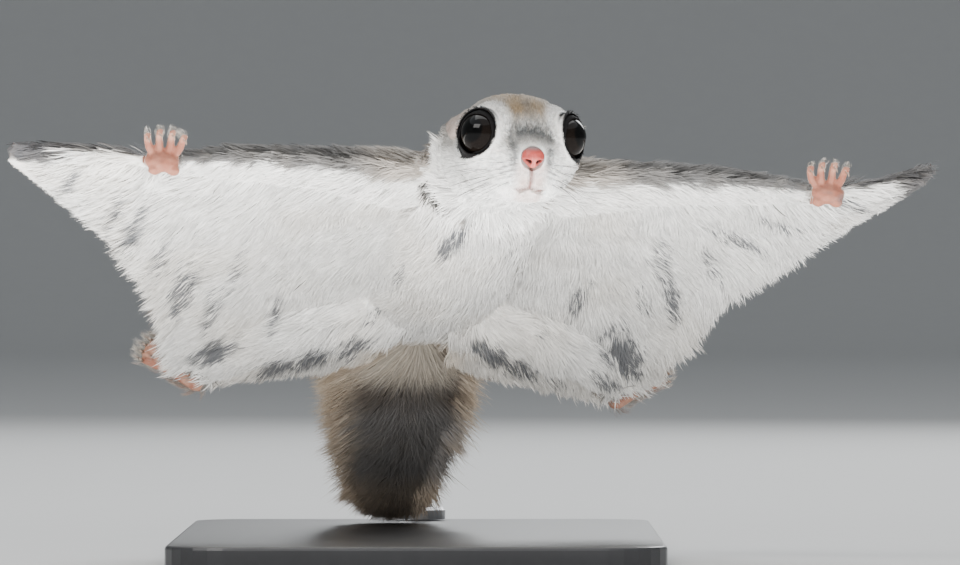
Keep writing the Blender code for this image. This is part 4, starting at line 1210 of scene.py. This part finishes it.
def tail_coat(tail_line, fur):
    """The brush: long hair out to both sides and back, and shorter hair over and under the core."""
    rng = np.random.default_rng(COAT_SEED + 1)
    thin = 1.0
    run = np.concatenate([[0], np.cumsum(np.linalg.norm(np.diff(tail_line, axis=0), axis=1))])
    pieces = []
    for tag, layers in (("under", (-1.0, -0.35)), ("over", (1.0, 0.35))):
        coat = Coat(LONG)
        for layer in layers:
            count = int(TAIL_TUFTS * thin)
            distance = rng.uniform(-5.0, 93.0, count)
            across = np.clip(rng.normal(0, 0.62, count), -1, 1)
            centre = np.stack([np.interp(distance + 4.0, run, tail_line[:, k]) for k in range(3)], axis=1)
            slope = np.clip(1 - distance / 100.0, 0.15, 1)
            half, thick = CORE_HALF_WIDTH * slope, CORE_HALF_THICKNESS * slope
            rise = layer * thick * np.sqrt(1 - 0.8 * across**2)
            root = centre + columns(0.0, across * half * 0.9, rise)
            lean = 76 - 60 * np.clip((distance + 5) / 98.0, 0, 1) ** 0.75
            lie_angle = np.radians(lean) * np.sign(across) * np.abs(across) ** 0.55
            lie_angle += rng.normal(0, 0.09, count)
            way = columns(-np.cos(lie_angle), np.sin(lie_angle), 0.0)
            length = tail_hair_length(distance, across, lie_angle, half)
            length *= np.clip(rng.normal(0.95, 0.08, count), 0.55, 1.04)
            normal = np.tile(np.array([[0.0, 0.0, math.copysign(1.0, layer)]]), (count, 1))
            normal[:, 1] += across * 0.35
            normal = way_to_world(unit(normal))
            lifts = np.where(abs(layer) > 0.5, 0.06, -0.01) + 0.05 * rng.random(count)
            kind = np.full(count, KINDS.index("tail"))
            tone = rng.normal(1.0, 0.10, count)[:, None]

            def shade_at(t, places, normal=normal, kind=kind, tone=tone):
                colour = tail_colour(Spots(places, normal, kind, tail_line))
                return colour * (0.72 + 0.34 * t) * tone

            coat.add(
                to_world(root),
                normal,
                normal,
                way_to_world(way),
                length,
                0.42 * np.clip(rng.normal(1, 0.2, count), 0.5, 1.6),
                lifts,
                shade_at,
                chart_of(Spots(to_world(root), normal, kind, tail_line)),
                rng,
                0.6,
                2.6,
            )
        pieces.append(coat.build(f"coat_tail_{tag}", fur))
    return pieces


def tail_hair_length(distance, across, lie_angle, half):
    """How long a hair of the tail may be before it crosses the brush's outline."""
    length = np.full(len(distance), 30.0)
    for reach in np.linspace(28.0, 5.0, 24):
        end = distance + reach * np.cos(lie_angle)
        out = np.abs(across) * half * 0.9 + reach * np.abs(np.sin(lie_angle))
        limit = np.interp(end, BRUSH_ALONG, BRUSH_REACH, right=0.0)
        length = np.where(out > limit, reach, length)
    return np.clip(length, 5.0, 26.0)


# Face, paws and whiskers


def colour_points(mesh, colours):
    layer = mesh.color_attributes.new("coat", "FLOAT_COLOR", "POINT")
    rgba = np.concatenate([colours, np.ones((len(colours), 1))], axis=1)
    layer.data.foreach_set("color", rgba.astype(np.float32).ravel())


def eye_axis(side):
    """The way an eye looks, as u, v, w."""
    way = head_way_to_body([(0.64, side * 0.75, 0.16)])[0]
    return way / np.linalg.norm(way)


def lid_frame(side):
    """The ways an eye looks, up along its lids, and back from the nose, as u, v, w."""
    axis = eye_axis(side)
    up = head_way_to_body([(0, 0, 1)])[0]
    up = up - axis * (up @ axis)
    up /= np.linalg.norm(up)
    return axis, up, np.cross(up, axis) * side


def lid_corner(eye, side):
    """Where the lids' rims meet, low at the back of the eye."""
    axis, up, back = lid_frame(side)
    angle = math.radians(LID_CORNER_DEG)
    off = math.radians(LID_OPEN_DEG + 15.0)
    out = back * math.cos(angle) + up * math.sin(angle)
    return eye + (axis * math.cos(off) + out * math.sin(off)) * (EYE_RADIUS + 1.2)


def make_eye(name, node, eye, side, wet):
    """An eyeball with its pupil and iris marked by the distance from the eye's axis."""
    shape = bmesh.new()
    bmesh.ops.create_uvsphere(shape, u_segments=64, v_segments=40, radius=EYE_RADIUS * MM)
    mesh = bpy.data.meshes.new(name)
    shape.to_mesh(mesh)
    shape.free()
    axis = Vector(way_to_world(np.array([eye_axis(side)]))[0])
    mesh.transform(axis.to_track_quat("Z", "Y").to_matrix().to_4x4())
    points, _, _ = arrays_of(mesh)
    off_axis = np.degrees(np.arccos(np.clip(unit(points) @ np.array(axis), -1, 1)))
    bulge = 1 + 0.035 * np.exp(-((off_axis / 28.0) ** 2))
    points = points * bulge[:, None]
    iris = mix((0.001, 0.001, 0.001), (0.004, 0.0028, 0.0022), ramp(off_axis, 30.0, 36.0))
    points = points + to_world(np.array([eye]))[0]
    mesh.vertices.foreach_set("co", points.ravel())
    mesh.update()
    mesh.shade_smooth()
    colour_points(mesh, iris)
    obj = link(name, mesh, wet)
    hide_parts(node)
    return obj


def make_lid(name, eye, side, material):
    """The bare dark rim of both lids: a ring on the eyeball, drawn out to a corner low at the back."""
    axis, up, back = lid_frame(side)
    steps, sides = 96, 10
    spots = []
    for k in range(steps):
        angle = math.radians(360.0 * k / steps)
        corner = math.cos(angle - math.radians(LID_CORNER_DEG))
        front = math.cos(angle - math.radians(LID_CORNER_DEG - 180.0))
        stretch = max(0.0, corner) ** 7 + 0.25 * max(0.0, front) ** 12
        off = math.radians(LID_OPEN_DEG + 15.0 * stretch - 6.0 * max(0.0, math.sin(angle)))
        out = back * math.cos(angle) + up * math.sin(angle)
        reach = EYE_RADIUS + 0.12 + 1.3 * max(0.0, corner) ** 7
        centre = eye + (axis * math.cos(off) + out * math.sin(off)) * reach
        away = (centre - eye) / np.linalg.norm(centre - eye)
        along = np.cross(away, out)
        across = np.cross(along, away)
        across /= np.linalg.norm(across)
        half = 0.8 + 0.42 * math.sin(angle) + 0.25 * stretch
        for j in range(sides):
            turn = 2 * math.pi * j / sides
            spots.append(centre + across * half * math.cos(turn) + away * 0.3 * math.sin(turn))
    count = steps * sides
    faces = [tuple(k % count for k in face) for face in ring_faces(steps + 1, sides)]
    mesh = bpy.data.meshes.new(name)
    mesh.from_pydata(to_world(np.array(spots)).tolist(), [], faces)
    shape = bmesh.new()
    shape.from_mesh(mesh)
    bmesh.ops.recalc_face_normals(shape, faces=shape.faces)
    shape.to_mesh(mesh)
    shape.free()
    mesh.shade_smooth()
    obj = link(name, mesh, material)
    return obj


def make_nose(material):
    """The nose pad: two comma-shaped nostrils, a cleft between them, and a soft square outline."""
    shape = bmesh.new()
    bmesh.ops.create_icosphere(shape, subdivisions=6, radius=1.0)
    mesh = bpy.data.meshes.new("nose_pad")
    shape.to_mesh(mesh)
    shape.free()
    points, _, _ = arrays_of(mesh)
    along, across, lift = points[:, 0], points[:, 1], points[:, 2]
    front = ramp(along, 0.0, 0.6)
    size = np.ones(len(points))
    depth = np.zeros(len(points))
    for side in (1, -1):
        hole = bump(across, side * 0.48, 0.19) * bump(lift, -0.50, 0.17)
        comma = bump(across, side * 0.74, 0.17) * bump(lift, -0.34, 0.12)
        depth += (0.50 * hole + 0.34 * comma) * front
        wing = bump(across, side * 0.62, 0.26) * bump(lift, -0.08, 0.2)
        size += 0.08 * wing * front
    cleft = bump(across, 0, 0.08) * front * ramp(lift, 0.45, -0.2)
    size += 0.05 * bump(lift, 0.45, 0.3) * front - 0.11 * cleft - depth
    narrow = 1 - 0.34 * ramp(lift, 0.0, -1.0)
    rows = points * size[:, None] * np.array([NOSE_SIZE[0], NOSE_SIZE[1] * 1.08, NOSE_SIZE[2] * 1.08])
    rows[:, 1] *= narrow
    rows = rows + np.array(NOSE_AT) + np.array([0.0, 0.0, 0.2])
    spots = to_world(head_to_body(rows))
    mesh.vertices.foreach_set("co", spots.ravel())
    mesh.update()
    mesh.shade_smooth()
    colour = mix(NOSE_PINK, NOSE_PALE, bump(across, 0, 0.3) * ramp(lift, 0.1, -0.4))
    colour = mix(colour, MUZZLE_GREY, ramp(lift, 0.45, 0.95) * 0.7)
    # The nostrils darken with the depth of their dents: painted shade inside them
    colour_points(mesh, mix(colour, NOSTRIL_SHADE, np.clip(depth * 4.5, 0, 1)))
    obj = link("nose_pad", mesh, material)
    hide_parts("nose")
    return obj


def tube_rows(path, radii, sides):
    """Points and faces of one tapered tube through points in metres, closed to a point at its end."""
    spots = []
    across = Vector((path[1] - path[0]).tolist()).orthogonal().normalized()
    for i, centre in enumerate(path):
        along = Vector((path[min(i + 1, len(path) - 1)] - path[max(i - 1, 0)]).tolist()).normalized()
        across = (across - along * across.dot(along)).normalized()
        up = along.cross(across)
        for k in range(sides):
            angle = 2 * math.pi * k / sides
            out = across * math.cos(angle) + up * math.sin(angle)
            spots.append(Vector(centre.tolist()) + out * radii[i])
    faces = ring_faces(len(path), sides)
    faces.append(tuple(reversed(range(sides))))
    faces.append(tuple((len(path) - 1) * sides + k for k in range(sides)))
    return spots, faces


def tubes_object(name, tubes, sides, material):
    """Many tubes in one mesh. tubes holds pairs of a path in metres and its radii in metres."""
    spots, faces = [], []
    for path, radii in tubes:
        more, sheets = tube_rows(path, radii, sides)
        faces += [tuple(k + len(spots) for k in sheet) for sheet in sheets]
        spots += more
    mesh = bpy.data.meshes.new(name)
    mesh.from_pydata([tuple(p) for p in spots], [], faces)
    mesh.shade_smooth()
    return link(name, mesh, material)


def make_whiskers(material):
    """Fine dark whiskers in rows on both sides of the muzzle."""
    rng = np.random.default_rng(WHISKER_SEED)
    tubes = []
    for side in (1, -1):
        for row in range(4):
            for k in range(5):
                along = 34.8 - 1.0 * k + rng.normal(0, 0.12)
                lift = -3.4 - 1.2 * row + rng.normal(0, 0.12)
                root = np.array([along, side * (3.4 + 0.75 * k), lift])
                way = np.array([-0.12 - 0.12 * k, side, 0.12 - 0.16 * row + rng.normal(0, 0.05)])
                length = 7.5 + 1.9 * k + rng.uniform(-1.0, 1.5)
                tubes.append(whisker(root, way, length, rng))
    return tubes_object("whiskers", tubes, 5, material)


def whisker(root, way, length, rng):
    way = way / np.linalg.norm(way)
    path = []
    droop = rng.uniform(0.10, 0.22)
    sweep = rng.uniform(0.10, 0.28)
    for t in np.linspace(0, 1, 9):
        bend = np.array([-sweep * t * t, 0, -droop * t * t])
        path.append(root + (way * t + bend) * length)
    spots = to_world(head_to_body(np.array(path)))
    radii = [(0.062 * (1 - t) ** 0.8 + 0.01) * MM for t in np.linspace(0, 1, 9)]
    return spots, radii


# How steeply the palm stands, and the fingers, toes and hind feet, as the solids have them
HAND_RISE_DEG = 61.0
FINGER_SPREAD = (-3.3, -1.2, 1.1, 3.3)
FINGER_REACH = (3.4, 4.5, 4.6, 3.5)
TOES = ((-2.93, 2.6), (-1.47, 3.7), (0.07, 4.0), (1.56, 3.7), (2.98, 2.5))
HIND_HEEL = (-73.6, 52.5, -5.6)
HIND_TOES = (-73.2, 65.0, 4.4)
SOLE_WAY = (0.80, 0.0, -0.60)


def hand_point(side, across, lift, forward):
    """A point of the hand, as u, v, w: across away from the body, lift up the palm, forward out of it."""
    rise = math.radians(HAND_RISE_DEG)
    u = 28.0 + lift * math.cos(rise) + forward * math.sin(rise)
    w = -0.9 + lift * math.sin(rise) - forward * math.cos(rise)
    return np.array([u, side * (80.0 + across), w])


def foot_point(side, along, across, down):
    """A point of the hind foot, as u, v, w: along from heel to toes, across it, and out of the sole."""
    heel, toes = np.array(HIND_HEEL), np.array(HIND_TOES)
    axis = (toes - heel) / np.linalg.norm(toes - heel)
    sole = np.array(SOLE_WAY)
    sole = sole - axis * (sole @ axis)
    sole = sole / np.linalg.norm(sole)
    u, v, w = heel + axis * along + np.cross(axis, sole) * across + sole * down
    return np.array([u, side * v, w])


def make_claws(material):
    """A curved, tapering claw at the end of each finger and toe."""
    tubes = []
    for side in (1, -1):
        for across, length in zip(FINGER_SPREAD, FINGER_REACH):
            x = across * 1.32
            rows = [(2.0, 2.0), (2.1, 3.0), (1.7, 3.9), (0.9, 4.5)]
            path = [hand_point(side, x, base + length * 0.87 - 0.9, out) for base, out in rows]
            tubes.append((to_world(np.array(path)), [0.36 * MM, 0.30 * MM, 0.2 * MM, 0.05 * MM]))
        for across, length in TOES:
            x = across * 1.2
            rows = [(-0.5, 1.2), (0.1, 2.1), (-0.1, 3.0), (-0.7, 3.7)]
            path = [foot_point(side, 12.2 + length + step, x, out) for step, out in rows]
            tubes.append((to_world(np.array(path)), [0.40 * MM, 0.33 * MM, 0.2 * MM, 0.05 * MM]))
    return tubes_object("claws", tubes, 8, material)


# The setting


def make_cove(material):
    """A floor that turns up all round into a pale wall, seen the same from every side."""
    rows = [(0.0, 0.0), (0.6, 0.0), (1.6, 0.0), (3.0, 0.0), (COVE_FLAT, 0.0)]
    steps, around = 16, 96
    for k in range(1, steps + 1):
        angle = math.pi / 2 * k / steps
        out = COVE_FLAT + COVE_CURVE * math.sin(angle)
        rows.append((out, COVE_CURVE * (1 - math.cos(angle))))
    rows.append((COVE_FLAT + COVE_CURVE, COVE_HEIGHT))
    spots, faces = [(0.0, 0.0, 0.0)], []
    for distance, height in rows[1:]:
        for k in range(around):
            angle = 2 * math.pi * k / around
            spots.append((distance * math.cos(angle), distance * math.sin(angle), height))
    for k in range(around):
        faces.append((0, 1 + k, 1 + (k + 1) % around))
    faces += [face[::-1] for face in ring_faces(len(rows) - 1, around, 1)]
    mesh = bpy.data.meshes.new("floor_cove")
    mesh.from_pydata(spots, [], faces)
    mesh.shade_smooth()
    obj = link("floor_cove", mesh, material)
    return obj


def cove_material():
    """Pale paper, with painted shade that makes it a little darker far from the stand."""
    material, tree, shader = new_material("paper")
    place = tree.nodes.new("ShaderNodeTexCoord")
    distance = tree.nodes.new("ShaderNodeVectorMath")
    distance.operation = "LENGTH"
    tree.links.new(place.outputs["Object"], distance.inputs[0])
    # The share of painted shade grows with the distance from the stand
    far = tree.nodes.new("ShaderNodeMapRange")
    tune(far, {"From Min": PAPER_SHADE_FADE[0], "From Max": PAPER_SHADE_FADE[1]})
    tree.links.new(distance.outputs["Value"], far.inputs["Value"])
    paper = tree.nodes.new("ShaderNodeMix")
    paper.data_type = "RGBA"
    tune(paper, {"A": (*PAPER_NEAR_LIT, 1.0), "B": (*PAPER_FAR_SHADED, 1.0)})
    tree.links.new(far.outputs["Result"], paper.inputs["Factor"])
    shade_colour(tree, shader, paper.outputs["Result"], fine_noise(tree, 60.0), 0.98, 1.02)
    shader.inputs["Roughness"].default_value = 0.9
    return material


AIM = (0.0, -0.06, 0.08)
SNOW_AT = (0.0, -0.44, 0.004)

# Each lamp's name, place, aim, size, power, colour, and whether it shows in reflections
LAMPS = (
    ("key", (-0.9, -1.5, 1.5), AIM, (1.2, 0.8), 25.0, (1.0, 0.98, 0.95), True),
    ("low_front", (0.2, -2.0, 0.4), AIM, (2.2, 0.7), 19.0, (0.99, 0.99, 1.0), False),
    ("snow", SNOW_AT, (*SNOW_AT[:2], 1.0), (1.0, 0.6), 17.0, (0.98, 0.99, 1.0), False),
    ("top", (0.1, 0.3, 1.9), AIM, (1.8, 1.4), 24.0, (1.0, 1.0, 1.0), True),
    ("rim", (0.5, 1.6, 0.9), AIM, (1.2, 0.7), 20.0, (0.97, 0.99, 1.0), True),
)


def add_lights():
    """Soft studio lamps, one of them flat on the floor as snow would light the belly, and a pale sky."""
    for name, at, aim, size, power, colour, glossy in LAMPS:
        data = bpy.data.lights.new(name, "AREA")
        data.shape = "RECTANGLE"
        data.size, data.size_y = size
        data.energy = power
        data.color = colour
        obj = bpy.data.objects.new(name, data)
        bpy.context.scene.collection.objects.link(obj)
        obj.location = at
        obj.rotation_euler = (Vector(aim) - Vector(at)).to_track_quat("-Z", "Y").to_euler()
        obj.visible_camera = False
        obj.visible_glossy = glossy
    world = bpy.data.worlds.new("studio")
    world.use_nodes = True
    tune(world.node_tree.nodes["Background"], {"Color": (0.9, 0.95, 1.0, 1.0), "Strength": 1.0})
    bpy.context.scene.world = world


def add_camera():
    data = bpy.data.cameras.new("camera")
    data.lens = CAMERA_LENS
    data.sensor_width = 36.0
    data.clip_end = 30.0
    obj = bpy.data.objects.new("camera", data)
    bpy.context.scene.collection.objects.link(obj)
    obj.location = CAMERA_AT
    obj.rotation_euler = (math.radians(90), 0, 0)
    bpy.context.scene.camera = obj


def dress(nodes):
    """Puts the skin, the coat, the face and the paws on the animal, and materials on its stand."""
    fur = fur_material()
    bare = make_skin(nodes)
    spots = Spots(bare.points, bare.normals, bare.kinds, bare.tail_line)
    colour_points(bare.mesh, mix(base_colour(spots, bare.eyes), SLATE, 0.9 * spots.parting()))
    skin = link("skin", bare.mesh, skin_material())
    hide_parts(*FLESH, "tail")
    pieces = [skin]
    for piece in lay_coat(bare, fur):
        pieces.append(piece)
    for piece in tail_coat(bare.tail_line, fur):
        pieces.append(piece)
    wet, lid = eye_material(), lid_material()
    for tag, eye, side in zip(("l", "r"), bare.eyes, (1, -1)):
        pieces.append(make_eye("eyeball_" + tag, "eye_" + tag, eye, side, wet))
        pieces.append(make_lid("lid_" + tag, eye, side, lid))
    pieces.append(make_nose(nose_material()))
    pieces.append(make_whiskers(horn_material("whisker", WHISKER, 0.35, 900.0, 0.00002)))
    pieces.append(make_claws(horn_material("claw", CLAW, 0.3, 1500.0, 0.00003)))
    for piece in pieces:
        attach(piece, "root")
    steel, paint = steel_material(), base_material()
    for name, material in (("stand_base", paint), ("stand_rod", steel), ("stand_collar", steel)):
        nodes[name].material_slots[0].material = material


dress(frame["nodes"])
make_cove(cove_material())
add_lights()
add_camera()
